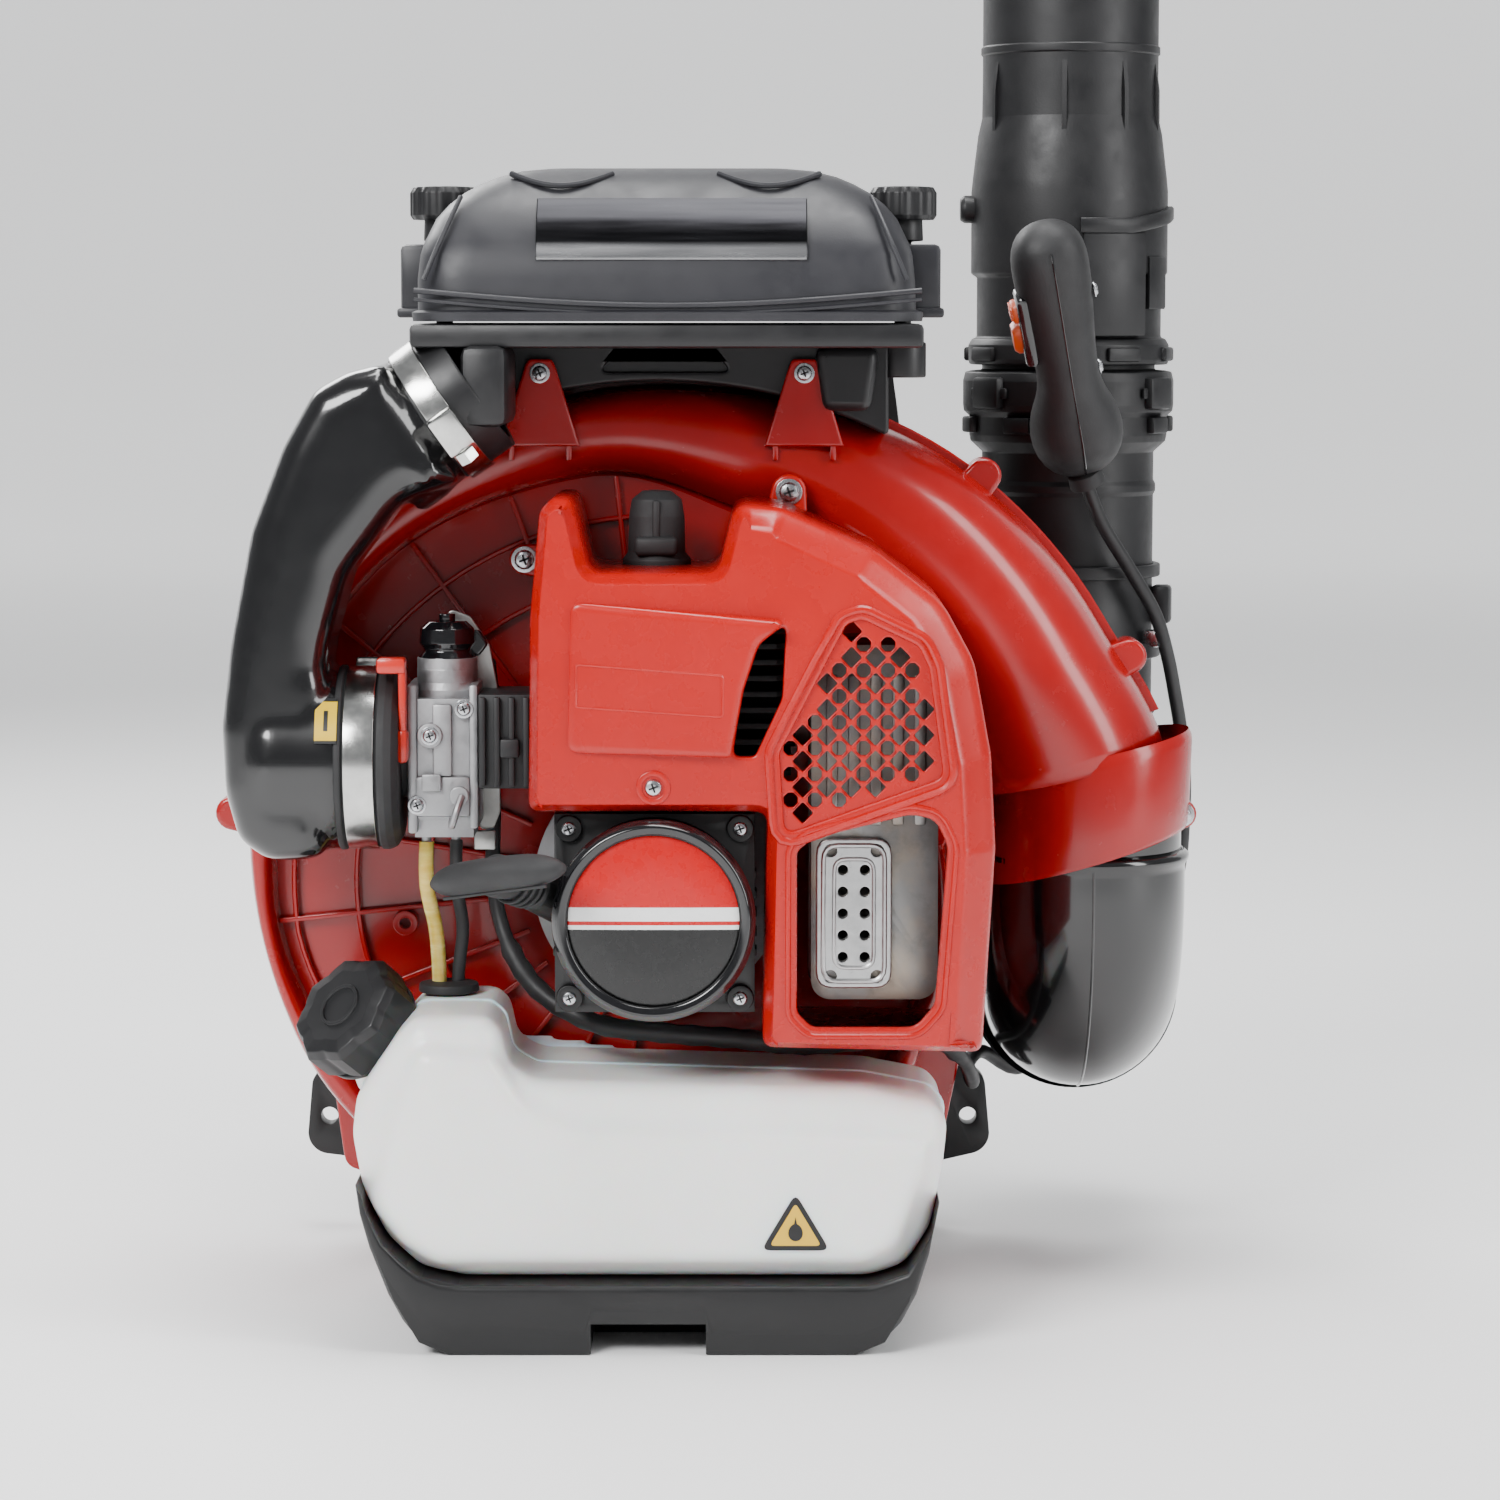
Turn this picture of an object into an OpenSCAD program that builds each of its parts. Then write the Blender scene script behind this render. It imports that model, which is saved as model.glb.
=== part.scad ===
// Backpack leaf blower: a two-stroke engine and centrifugal fan on a carrying frame.
// Millimetres. X runs left to right, +Y towards the wearer's back, +Z up.
// The origin is on the ground, below the fan axis, on the underside of the frame's foot.

/* [Fan and volute] */
// Height of the crank and fan axis
crank_z = 178; // [176:1:180]
// Outer radius of the fan wheel
fan_r = 110; // [104:1:111]
// Number of fan blades
fan_blades = 18; // [12:1:20]
// Wall thickness of the moulded casings
wall = 3; // [2.4:0.1:3.2]

/* [Blower pipe] */
// Outer radius of the pipe
pipe_r = 40; // [39.5:0.1:40.2]
// Wall thickness of the pipe
pipe_wall = 2.4; // [1.8:0.1:3]
// Height of the nozzle's mouth above the ground
nozzle_top = 880; // [780:10:1000]
// Outer radius of the nozzle's mouth
nozzle_mouth_r = 33; // [31:0.5:37]

/* [Engine] */
// Piston radius
piston_r = 25.3; // [24.8:0.1:25.4]
// Crank throw, half of the stroke
crank_throw = 18; // [16:0.5:18]
// Number of cooling fins
fin_count = 10; // [8:1:10]

/* [Fuel tank and frame] */
// Depth of the fuel tank from front to back
tank_depth = 100; // [90:1:101]
// Width of the carry slot at the top of the frame
carry_slot_w = 96; // [80:1:110]
// Radius of the hip belt holes in the frame's ears
belt_hole_r = 4; // [3:0.5:5]

/* [Air cleaner] */
// Height of the air cleaner's cover
cleaner_cover_h = 64; // [58:1:68]
// Radius of the two cover knobs
knob_r = 13.5; // [12:0.5:14]

/* [Hidden] */
$fn = 48;
fit = 0.05;      // radial clearance of a close fit
gap = 0.3;       // clearance between neighbouring mouldings
eps = 0.01;

red = "firebrick";
black = "#1c1c1e";
grey = "#8f9092";

// ---- volute stations along Y and the outlet axis
scroll_y0 = -8;
disc_y = 8;
part_y = 45;
scroll_y1 = 90;
disc_r = 114;
outlet_x = 187.5;
outlet_r = 44.5;
outlet_z = 188;
outlet_top = 226;
inlet_r = 72;
tab_holes = [[-50, 397], [62, 397]];
ear_x = -8;
ear_dx = 148;
mount_spots = [[-85, 300], [85, 300], [-75, 100], [75, 100]];

// ---- engine stations
cyl_y = -38;
bore_r = 25.6;
deck_z = crank_z + 44;
head_z = deck_z + 78;
rod_len = 62;
shaft_r = 8;
starter_y0 = -116;
starter_y1 = -74;
intake_y = -52;
intake_z = 246;
carb_x0 = -102;
carb_x1 = -73.5;
boot_r = 37;
muffler_x0 = 64;
muffler_x1 = 116;
choke_y = -73.5;
choke_z = 246;

// ---- pipe stations
pipe_y = 172;
elbow_r = 43.5;
elbow_bend = 55;
hose_r = 58;
hose_in = 43;
hose_out = 48;
collar_y = 114;
hose_z = 116;
hose_cz = hose_z + hose_r;
elbow_top = hose_z + elbow_bend;
joint_z = 398;

// ---- cleaner stations
cleaner_y0 = -75;
cleaner_y1 = 80;
tray_z = 418;
knob_y = 2;
knob_xs = [-91, 104];

// ---- directions in space
pull_at = [-45, -100, 188];
pull_dir = [-0.57, -0.76, 0.31];
pull_bar = [-0.8208, 0.5438, -0.1744];
cap_at = [-118, -58, 122];
cap_dir = [-0.55, -0.58, 0.60];
grip_at = [186, 104, 372];
grip_tilt = 26;
grip_lean = -11.6;

// ---- plain outlines, drawn as [x, z]
tank_outline = [
  [-122, 104], [-124, 88], [-120, 66], [-110, 46], [-96, 33], [-78, 29], [88, 29], [103, 34],
  [113, 50], [118, 74], [120, 94], [114, 101], [86, 107], [-50, 111], [-60, 117], [-63, 132],
  [-69, 137], [-98, 137], [-106, 128]
];
duct_outline = [
  [-160, 198], [-172, 206], [-177, 226], [-178, 253], [-174, 287], [-165, 333], [-152, 366],
  [-139, 390], [-128, 397], [-112, 401], [-80, 354], [-104, 347], [-128, 316], [-136, 287],
  [-137, 276], [-135, 272], [-135, 198]
];
cover_outline = [
  [-51, 221], [-50, 300], [-45, 343], [-41, 347], [-33, 347], [-26, 318], [26, 318], [33, 345],
  [52, 342], [90, 326], [117, 306], [130, 282], [137, 244], [139, 206], [134, 122], [44, 124],
  [46, 221]
];
window_outline = [[58, 204], [104, 218], [114, 216], [118, 206], [113, 142], [106, 134], [64, 134], [58, 140]];
grille_outline = [[77, 297], [82, 299], [106, 287], [110, 278], [116, 236], [52, 210], [51, 222], [68, 258]];
frame_outline = [
  [-116, 0], [-126, 40], [-128, 120], [-122, 240], [-110, 350], [-104, 396], [-92, 412],
  [92, 412], [104, 396], [110, 350], [122, 240], [128, 120], [126, 40], [116, 0]
];

// ---- routes of the pipes, lines and straps
fuel_route = [[-92, -44, 120], [-92, -44, 145], [-93, -48, 165], [-96, -56, 184], [-96, -56, 198]];
return_route = [[-84, -42, 120], [-84, -42, 145], [-82, -43, 165], [-84, -50, 184], [-84, -50, 198]];
cable_route = [
  [192, 112, 344], [200, 120, 326], [214, 128, 304], [226, 138, 284], [233, 150, 264],
  [238, 162, 244], [242, 170, 224], [244, 174, 204], [244, 176, 184], [243, 182, 162],
  [238, 192, 138], [226, 198, 114], [206, 190, 92], [184, 172, 76], [164, 148, 70],
  [147, 125, 82], [139, 98, 82], [138, 72, 81], [138, 48, 82], [136, 24, 90],
  [130, 2, 102], [116, -16, 114], [90, -38, 116], [62, -56, 117], [34, -64, 121],
  [2, -66, 124], [-26, -60, 127], [-50, -48, 139], [-64, -34, 158], [-70, -26, 182],
  [-70, -22, 210], [-70, -24, 240], [-70, -25, 260], [-71, -30, 272], [-71, -33, 276]
];
strap_path = [
  [68, 148, 392], [70, 166, 402], [74, 190, 401], [78, 212, 386], [82, 226, 358],
  [86, 232, 322], [90, 230, 284], [94, 222, 246], [98, 210, 208], [102, 196, 172],
  [106, 182, 138], [110, 168, 106], [114, 154, 78], [118, 144, 58]
];
strap_half_w = [18, 24, 28, 30, 30, 30, 29, 27, 24, 19, 13, 12.5, 12.5, 12.5];
strap_half_t = [3, 5, 6.5, 7, 7, 7, 7, 6.5, 6, 4, 1.5, 1.5, 1.5, 1.5];

// ---- shape helpers
module box(x0, x1, y0, y1, z0, z1)
  translate([x0, y0, z0]) cube([x1 - x0, y1 - y0, z1 - z0]);

module xcyl(r, x0, x1, y, z)
  translate([x0, y, z]) rotate([0, 90, 0]) cylinder(r = r, h = x1 - x0);

module ycyl(r, y0, y1, x, z)
  translate([x, y1, z]) rotate([90, 0, 0]) cylinder(r = r, h = y1 - y0);

module zcyl(r, z0, z1, x, y)
  translate([x, y, z0]) cylinder(r = r, h = z1 - z0);

// An outline drawn in x and z, given depth from y0 to y1.
module slab(y0, y1)
  translate([0, y1, 0]) rotate([90, 0, 0]) linear_extrude(y1 - y0) children();

module yring(r_out, r_in, y0, y1, x, z)
  difference() {
    ycyl(r_out, y0, y1, x, z);
    ycyl(r_in, y0 - 1, y1 + 1, x, z);
  }

module zring(r_out, r_in, z0, z1, x, y)
  difference() {
    zcyl(r_out, z0, z1, x, y);
    zcyl(r_in, z0 - 1, z1 + 1, x, y);
  }

module xring(r_out, r_in, x0, x1, y, z)
  difference() {
    xcyl(r_out, x0, x1, y, z);
    xcyl(r_in, x0 - 1, x1 + 1, y, z);
  }

// A hollow bend in the plane x = outlet_x, about (cy, cz), from angle a0 to a1 above +Y.
module bend(cy, cz, radius, r_out, r_in, a0, a1)
  translate([outlet_x, cy, cz]) rotate([90, 0, 90]) rotate([0, 0, a0])
    rotate_extrude(angle = a1 - a0) translate([radius, 0]) difference() {
      circle(r = r_out);
      circle(r = r_in);
    }

function unit(v) = v / norm(v);

// Local Z along dir and local X along side, at a point.
module aimed(at, dir, side) {
  z = unit(dir);
  y = unit(cross(z, side));
  x = cross(y, z);
  multmatrix([
    [x[0], y[0], z[0], at[0]],
    [x[1], y[1], z[1], at[1]],
    [x[2], y[2], z[2], at[2]],
    [0, 0, 0, 1]
  ]) children();
}

// Point t of the way from p1 to p2 on a smooth curve through the four points.
function curve_at(p0, p1, p2, p3, t) =
  0.5 * (2 * p1 + (p2 - p0) * t + (2 * p0 - 5 * p1 + 4 * p2 - p3) * t * t
    + (3 * p1 - p0 - 3 * p2 + p3) * t * t * t);

function smooth(p, n) = let (last = len(p) - 1) [
  for (i = [0 : last - 1]) for (k = [0 : n - 1])
    curve_at(p[max(i - 1, 0)], p[i], p[i + 1], p[min(i + 2, last)], k / n),
  p[last]
];

function tangent(p, i) = unit(p[min(i + 1, len(p) - 1)] - p[max(i - 1, 0)]);

function ring_faces(rings, sides) = [
  [for (k = [0 : sides - 1]) k],
  [for (k = [sides - 1 : -1 : 0]) (rings - 1) * sides + k],
  for (i = [0 : rings - 2]) for (k = [0 : sides - 1])
    [i * sides + k, (i + 1) * sides + k, (i + 1) * sides + (k + 1) % sides, i * sides + (k + 1) % sides]
];

// A round tube swept along a route; ref is a direction that the route never takes.
module tube(route, r, ref, sides = 8) {
  rings = [for (i = [0 : len(route) - 1])
    let (t = tangent(route, i), u = unit(cross(ref, t)), v = cross(t, u))
      for (k = [0 : sides - 1]) route[i] + r * (cos(360 * k / sides) * u + sin(360 * k / sides) * v)];
  polyhedron(rings, ring_faces(len(route), sides), convexity = 6);
}

// A flat band swept along a path that stays near one YZ plane.
module band(path, half_w, half_t) {
  corners = [[-1, -1], [1, -1], [1, 1], [-1, 1]];
  rings = [for (i = [0 : len(path) - 1])
    let (t = tangent(path, i), n = unit(cross([1, 0, 0], t)))
      for (c = corners) path[i] + [c[0] * half_w[i], 0, 0] + c[1] * half_t[i] * n];
  polyhedron(rings, ring_faces(len(path), 4), convexity = 4);
}

// ---- volute
// Radius of the scroll at an angle, from the outlet (8) anticlockwise round to the tongue (368).
function scroll_r(a) =
  a < 91 ? min(214 + 0.25 * (91 - a), 221)
  : a < 202 ? 214 - 0.37 * (a - 91)
  : 173 - 0.29 * (a - 202);

module scroll_outline(inset, a0)
  translate([0, crank_z]) polygon([
    for (a = [a0 : 6 : 368 - a0 / 2]) (scroll_r(a) - inset) * [cos(a), sin(a)],
    (scroll_r(368) - inset) * [cos(368 - a0 / 2), sin(368 - a0 / 2)]
  ]);

module volute_outer() {
  difference() {
    slab(scroll_y0, scroll_y1) scroll_outline(0, 8);
    ycyl(disc_r, scroll_y0 - 1, disc_y, 0, crank_z);
  }
  zcyl(outlet_r, outlet_z, outlet_top, outlet_x, part_y);
}

module volute_cavity() {
  difference() {
    slab(scroll_y0 + wall, scroll_y1 - wall) scroll_outline(wall, 11);
    ycyl(disc_r + wall, scroll_y0 - 1, disc_y + wall, 0, crank_z);
  }
  zcyl(outlet_r - 2.5, outlet_z - 1, outlet_top - wall, outlet_x, part_y);
}

module skirt_outline()
  polygon([[-150, 112], [-141, 44], [-95, 34], [80, 34], [122, 44], [136, 112]]);

module rim_lugs(y0, y1)
  for (p = [[-188, 204], [141, 352], [205, 273]])
    ycyl(7, y0, y1, p[0], p[1]);

module volute_front()
  color(red) difference() {
    union() {
      intersection() {
        difference() {
          volute_outer();
          volute_cavity();
        }
        box(-260, 260, -40, part_y, 0, 500);
      }
      difference() {
        union() {
          rim_lugs(32, part_y);
          for (p = tab_holes)
            slab(scroll_y0, -4) polygon([
              p + [-5, 4], p + [5, 4], [p[0] + 17, 372], [p[0] - 17, 372]
            ]);
        }
        volute_cavity();
      }
    }
    ycyl(20, 0, 20, 0, crank_z);
    for (p = tab_holes)
      ycyl(2.2, scroll_y0 - 1, 0, p[0], p[1]);
  }

module volute_rear()
  color(red) difference() {
    union() {
      intersection() {
        difference() {
          volute_outer();
          volute_cavity();
        }
        box(-260, 260, part_y, 120, 0, 500);
      }
      difference() {
        union() {
          slab(part_y, part_y + 5) skirt_outline();
          rim_lugs(part_y, 56);
        }
        volute_cavity();
      }
      yring(inlet_r + 3, inlet_r, 78, scroll_y1, 0, crank_z);
    }
    ycyl(inlet_r, 60, 120, 0, crank_z);
  }

module intake_grille()
  color(black) {
    ycyl(14, scroll_y1, scroll_y1 + 4, 0, crank_z);
    for (r = [32, 52])
      yring(r + 2, r - 2, scroll_y1, scroll_y1 + 4, 0, crank_z);
    yring(90, 72, scroll_y1, scroll_y1 + 4, 0, crank_z);
    for (a = [15 : 30 : 345])
      translate([0, scroll_y1 + 0.5, crank_z]) rotate([0, a, 0]) translate([12, 0, -1.5]) cube([64, 3, 3]);
  }

module fan()
  color("#2a2a2c") translate([0, 0, crank_z]) difference() {
    union() {
      ycyl(24, 28, 60, 0, 0);
      ycyl(fan_r, 29, 32, 0, 0);
      yring(fan_r, 80, 73, 76, 0, 0);
      for (i = [0 : fan_blades - 1])
        rotate([0, i * 360 / fan_blades, 0]) translate([62, 31, 0]) rotate([0, -38, 0])
          translate([0, 0, -1.2]) cube([56, 43, 2.4]);
    }
    ycyl(shaft_r + fit, 0, 100, 0, 0);
  }

// ---- engine
module crankcase()
  color(grey) difference() {
    union() {
      ycyl(41, starter_y1, -4, 0, crank_z);
      ycyl(54, -4, disc_y, 0, crank_z);
      box(-33, 33, -68, -8, crank_z, deck_z);
    }
    ycyl(31.5, -58, -18, 0, crank_z);
    ycyl(16, -70, -4, 0, crank_z);
    ycyl(11, starter_y1 - 1, disc_y + 1, 0, crank_z);
    zcyl(bore_r, crank_z, deck_z + 1, 0, cyl_y);
  }

module fin_stack()
  for (i = [0 : fin_count - 1])
    translate([0, 0, deck_z + 10 + i * 6.6]) linear_extrude(2.2) polygon([
      [-44, -66], [-38, -72], [50, -72], [56, -66], [56, -20], [50, -14], [-38, -14], [-44, -20]
    ]);

module cylinder_block()
  color("#3a3a3c") difference() {
    union() {
      zcyl(29.5, deck_z, head_z, 0, cyl_y);
      box(-33, 33, -70, -12, deck_z, deck_z + 5);
      fin_stack();
      xcyl(15, 30, 58, cyl_y, 256);
    }
    zcyl(bore_r, deck_z - 1, head_z - 12, 0, cyl_y);
    zcyl(7, head_z - 13, head_z + 1, 0, cyl_y);
    xcyl(12.5, -60, -20, intake_y, intake_z);
    xcyl(9, 10, 60, cyl_y, 256);
  }

pin_z = crank_z + crank_throw + rod_len;
module piston()
  color("silver") difference() {
    zcyl(piston_r, pin_z - 15, pin_z + 22, 0, cyl_y);
    zcyl(piston_r - 4, pin_z - 16, pin_z + 17, 0, cyl_y);
    for (z = [pin_z + 12, pin_z + 17])
      zring(piston_r + 1, piston_r - 2, z, z + 1.6, 0, cyl_y);
    ycyl(5.5 + fit, -80, 0, 0, pin_z);
  }

module connecting_rod()
  color("gray") {
    difference() {
      union() {
        ycyl(9, cyl_y - 5, cyl_y + 5, 0, pin_z);
        box(-4.5, 4.5, cyl_y - 4, cyl_y + 4, crank_z + crank_throw + 12.5, pin_z - 6);
      }
      ycyl(5.5 + fit, -80, 0, 0, pin_z);
    }
    ycyl(5.5, cyl_y - 22, cyl_y + 22, 0, pin_z);
  }

module crank_bearings()
  color("silver") {
    yring(16 - fit, shaft_r + fit, -70, -59, 0, crank_z);
    yring(16 - fit, shaft_r + fit, -17, -5, 0, crank_z);
  }

module crankshaft()
  color("silver") {
    ycyl(shaft_r, -88, -44, 0, crank_z);
    ycyl(shaft_r, -32, 68, 0, crank_z);
    for (y = [-56, -31])
      ycyl(30, y, y + 11, 0, crank_z);
    ycyl(7, -45.5, -30.5, 0, crank_z + crank_throw);
    ycyl(11.5, -43.5, -32.5, 0, crank_z + crank_throw);
    translate([0, 70, crank_z]) rotate([90, 0, 0]) cylinder(r = 12, h = 9.5, $fn = 6);
  }

module flywheel()
  color("silver") difference() {
    union() {
      ycyl(43, 14, 22, 0, crank_z);
      ycyl(18, 13, 27, 0, crank_z);
      for (a = [0 : 45 : 315])
        translate([36 * cos(a), 0, crank_z + 36 * sin(a)]) ycyl(3, 21, 27, 0, 0);
    }
    ycyl(shaft_r + fit, 0, 40, 0, crank_z);
  }

module starter_cup()
  color("gray") difference() {
    union() {
      ycyl(22, -87, -76, 0, crank_z);
      for (a = [20, 200])
        translate([26 * cos(a), 0, crank_z + 26 * sin(a)]) ycyl(4, -87, -80, 0, 0);
    }
    ycyl(shaft_r + fit, -100, -60, 0, crank_z);
  }

module ignition_coil()
  color("#303033") {
    box(-18, 18, 12, 26, crank_z + 54, crank_z + 76);
    for (x = [-17, 11])
      box(x, x + 6, 14, 22, crank_z + 45, crank_z + 54);
  }

module spark_plug()
  color("white") {
    zcyl(6.8, head_z - 10, head_z, 0, cyl_y);
    translate([0, cyl_y, head_z]) cylinder(r = 11.5, h = 9, $fn = 6);
    zcyl(5, head_z + 8, head_z + 34, 0, cyl_y);
  }

module plug_boot()
  color(black) difference() {
    union() {
      zcyl(14, head_z + 14, head_z + 22, 0, cyl_y);
      zcyl(11.5, head_z + 20, head_z + 48, 0, cyl_y);
      ycyl(5, cyl_y, cyl_y + 22, 0, head_z + 40);
    }
    zcyl(5.3, head_z + 10, head_z + 36, 0, cyl_y);
  }

module muffler()
  color("silver") difference() {
    union() {
      hull() {
        for (x = [muffler_x0 + 8, muffler_x1 - 8])
          for (z = [150, 280])
            ycyl(8, -90, -26, x, z);
      }
      xcyl(14, 58.2, muffler_x0 + 2, cyl_y, 256);
    }
    box(muffler_x0 + 2, muffler_x1 - 2, -88, -28, 146, 284);
    xcyl(9, 50, muffler_x0 + 4, cyl_y, 256);
    for (x = [77, 86])
      for (i = [0 : 4])
        ycyl(2, -95, -80, x, 160 + 9 * i);
  }

module muffler_plate()
  color("gainsboro") difference() {
    hull() {
      for (x = [72, 91])
        for (z = [153, 203])
          ycyl(6, -93, -90, x, z);
    }
    for (x = [77, 86])
      for (i = [0 : 4])
        ycyl(2, -95, -85, x, 160 + 9 * i);
    for (x = [72, 91])
      for (z = [152, 204])
        ycyl(2.6, -95, -85, x, z);
  }

module engine_cover()
  color(red) difference() {
    slab(-112, -12) polygon(cover_outline);
    slab(-109, -11) offset(delta = -2.6) polygon(cover_outline);
    slab(-120, -100) polygon(window_outline);
    slab(-120, -100) polygon([[36, 252], [40, 262], [41, 290], [52, 296], [52, 272], [42, 251]]);
    intersection() {
      slab(-120, -100) polygon(grille_outline);
      for (i = [0 : 8])
        for (k = [0 : 9])
          translate([49 + 8 * i, -105, 212 + 9 * k]) rotate([0, 45, 0]) cube([5, 20, 5], center = true);
    }
    box(-30, 29, -113, -111.2, 261, 282);
    box(-60, -40, -78, -26, 218, 276);
    box(-36, 36, -74, -10, 215, 230);
    box(-24, 24, -64, -11, 300, 330);
    ycyl(2.2, -120, -100, 0, 232);
  }

module starter_housing()
  color(black) {
    difference() {
      union() {
        box(-41, 41, -92, starter_y1, crank_z - 41, crank_z + 41);
        ycyl(39.5, -113, -90, 0, crank_z);
        yring(39.5, 35, starter_y0, -112, 0, crank_z);
        aimed(pull_at, pull_dir, pull_bar) translate([0, 0, -12]) cylinder(r1 = 11, r2 = 9, h = 20);
      }
      ycyl(36, -110, starter_y1 + 1, 0, crank_z);
      aimed(pull_at, pull_dir, pull_bar) translate([0, 0, -40]) cylinder(r = 3, h = 60);
      for (x = [-35, 35])
        for (z = [-35, 35])
          ycyl(2.2, -95, -70, x, crank_z + z);
    }
    ycyl(5 - fit, -111, -92, 0, crank_z);
  }

module starter_badge()
  color("crimson") ycyl(34.7, -115, -113, 0, crank_z);

module starter_reel()
  color("#ededed") difference() {
    union() {
      ycyl(28, -106, -104, 0, crank_z);
      ycyl(24, -105, -93, 0, crank_z);
      ycyl(28, -94, -92, 0, crank_z);
    }
    ycyl(14, -98, -90, 0, crank_z);
    ycyl(5, -110, -90, 0, crank_z);
  }

module recoil_spring()
  color("silver") yring(13, 10, -97.5, -90.5, 0, crank_z);

module starter_handle()
  color(black) aimed(pull_at, pull_dir, pull_bar) difference() {
    union() {
      hull() {
        for (x = [-28, 28])
          translate([x, -6, 34]) rotate([-90, 0, 0]) cylinder(r = 8, h = 12, $fn = 32);
      }
      translate([0, 0, 10]) cylinder(r = 8, h = 24);
      translate([0, 0, -11]) cylinder(r = 2, h = 23);
    }
    translate([0, 0, 45]) cylinder(r = 4, h = 10);
  }

// ---- fuel and air
module intake_manifold()
  color(black) difference() {
    union() {
      box(-73, -46, intake_y - 20, intake_y + 20, 227, 266);
      xcyl(11.8, -47, -33, intake_y, intake_z);
    }
    xcyl(8, -80, -25, intake_y, intake_z);
  }

module carburettor()
  color("silver") difference() {
    union() {
      box(carb_x0, carb_x1, intake_y - 17, intake_y + 17, 214, 264);
      zcyl(12.5, 264, 280, -87, intake_y);
      box(carb_x0 + 2, carb_x1 - 2, intake_y - 14, intake_y + 14, 206, 214);
      for (p = [[-96, -56], [-84, -50]])
        zcyl(2, 198.6, 207, p[0], p[1]);
    }
    xcyl(8, -110, -70, intake_y, intake_z);
    zcyl(3 + fit, 262, 290, -87, intake_y);
  }

module throttle_arm()
  color(black) {
    zcyl(3, 265, 283, -87, intake_y);
    hull() {
      zcyl(11, 281, 293, -87, intake_y);
      zcyl(5, 281, 287, -76, intake_y + 8);
    }
  }

module intake_boot()
  color(black) difference() {
    union() {
      xcyl(boot_r, -134.5, -106, intake_y, 238);
      xcyl(16, -107, carb_x0 - 0.2, intake_y, intake_z);
    }
    xcyl(boot_r - 3, -136, -109, intake_y, 238);
    xcyl(8, -120, -100, intake_y, intake_z);
    xcyl(2 + fit, -140, -100, choke_y, choke_z);
  }

module choke_lever()
  color("orangered") {
    xcyl(2, -108, -99.5, choke_y, choke_z);
    hull() {
      xcyl(4, -105.6, -102.6, choke_y, choke_z);
      box(-105.6, -102.6, choke_y - 3.5, choke_y + 3.5, 266, 276);
    }
    box(-113, -102.6, choke_y - 3.5, choke_y + 3.5, 275, 281);
  }

// The joint between the duct and the air cleaner, with local Z along the flow.
module duct_frame()
  translate([-96, intake_y, 377.5]) rotate([0, 55.5, 0]) children();

module intake_duct()
  color(black) difference() {
    slab(intake_y - 34, intake_y + 34) polygon(duct_outline);
    slab(intake_y - 31, intake_y + 31) offset(delta = -3) polygon(duct_outline);
    xcyl(boot_r - 3, -140, -130, intake_y, 238);
    duct_frame() translate([0, 0, -8]) cylinder(r = 25, h = 20);
  }

module intake_clamps()
  color("silver") {
    xring(boot_r + 1.2, boot_r + 0.1, -128, -115, intake_y, 238);
    duct_frame() difference() {
      translate([0, 0, 4]) cylinder(r = 30.4, h = 10);
      translate([0, 0, 3]) cylinder(r = 29.2, h = 12);
    }
  }

module cleaner_base()
  color(black) difference() {
    union() {
      box(-78, 98, -3.5, cleaner_y1 - 1, 366, 409);
      box(-100, 110, cleaner_y0, cleaner_y1, 408, tray_z);
      box(-76, -44, intake_y - 30, -14, 376, 409);
      intersection() {
        duct_frame() translate([0, 0, 2]) cylinder(r = 29, h = 36);
        box(-140, -30, -90, -10, 300, 412);
      }
      for (x = knob_xs)
        zcyl(10, 396, 410, x, knob_y);
    }
    slab(-80, 100) translate([0, crank_z]) circle(r = 223, $fn = 128);
    box(-74, 94, 0, 76, 404, tray_z + 1);
    box(-94, 104, cleaner_y0 + 5, cleaner_y1 - 5, tray_z - 2, tray_z + 1);
    duct_frame() cylinder(r = 25, h = 34);
    box(-74, -50, intake_y - 18, intake_y + 18, 396, tray_z - 1);
    for (x = knob_xs)
      zcyl(4, 390, tray_z + 1, x, knob_y);
    for (p = tab_holes)
      ycyl(2.2, -10, 20, p[0], p[1]);
  }

module cover_shell(grow, low, high)
  hull() {
    box(-97 - grow, 106 + grow, cleaner_y0 + 3 - grow, cleaner_y1 - 3 + grow, low, tray_z + 14);
    box(-90 - grow, 99 + grow, cleaner_y0 + 12 - grow, cleaner_y1 - 12 + grow, tray_z + 20, tray_z + 36);
    box(-60 - grow, 70 + grow, cleaner_y0 + 40, cleaner_y1 - 40, tray_z + 30, high);
  }

module cleaner_cover()
  color("#2c2c30") difference() {
    union() {
      cover_shell(0, tray_z + 3, tray_z + cleaner_cover_h);
      box(-100, 110, cleaner_y0, cleaner_y1, tray_z + gap, tray_z + 5);
      for (x = [-107.5, 98])
        box(x, x + 21, knob_y - 26, knob_y + 26, tray_z + 2, tray_z + 33);
    }
    cover_shell(-3, tray_z + 1, tray_z + cleaner_cover_h - 3);
    box(-92, 101, cleaner_y0 + 7, cleaner_y1 - 7, tray_z - 1, tray_z + 8);
    for (x = knob_xs) {
      zcyl(18, tray_z + 34, tray_z + 80, x, knob_y);
      zcyl(4, tray_z - 1, tray_z + 60, x, knob_y);
    }
  }

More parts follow.
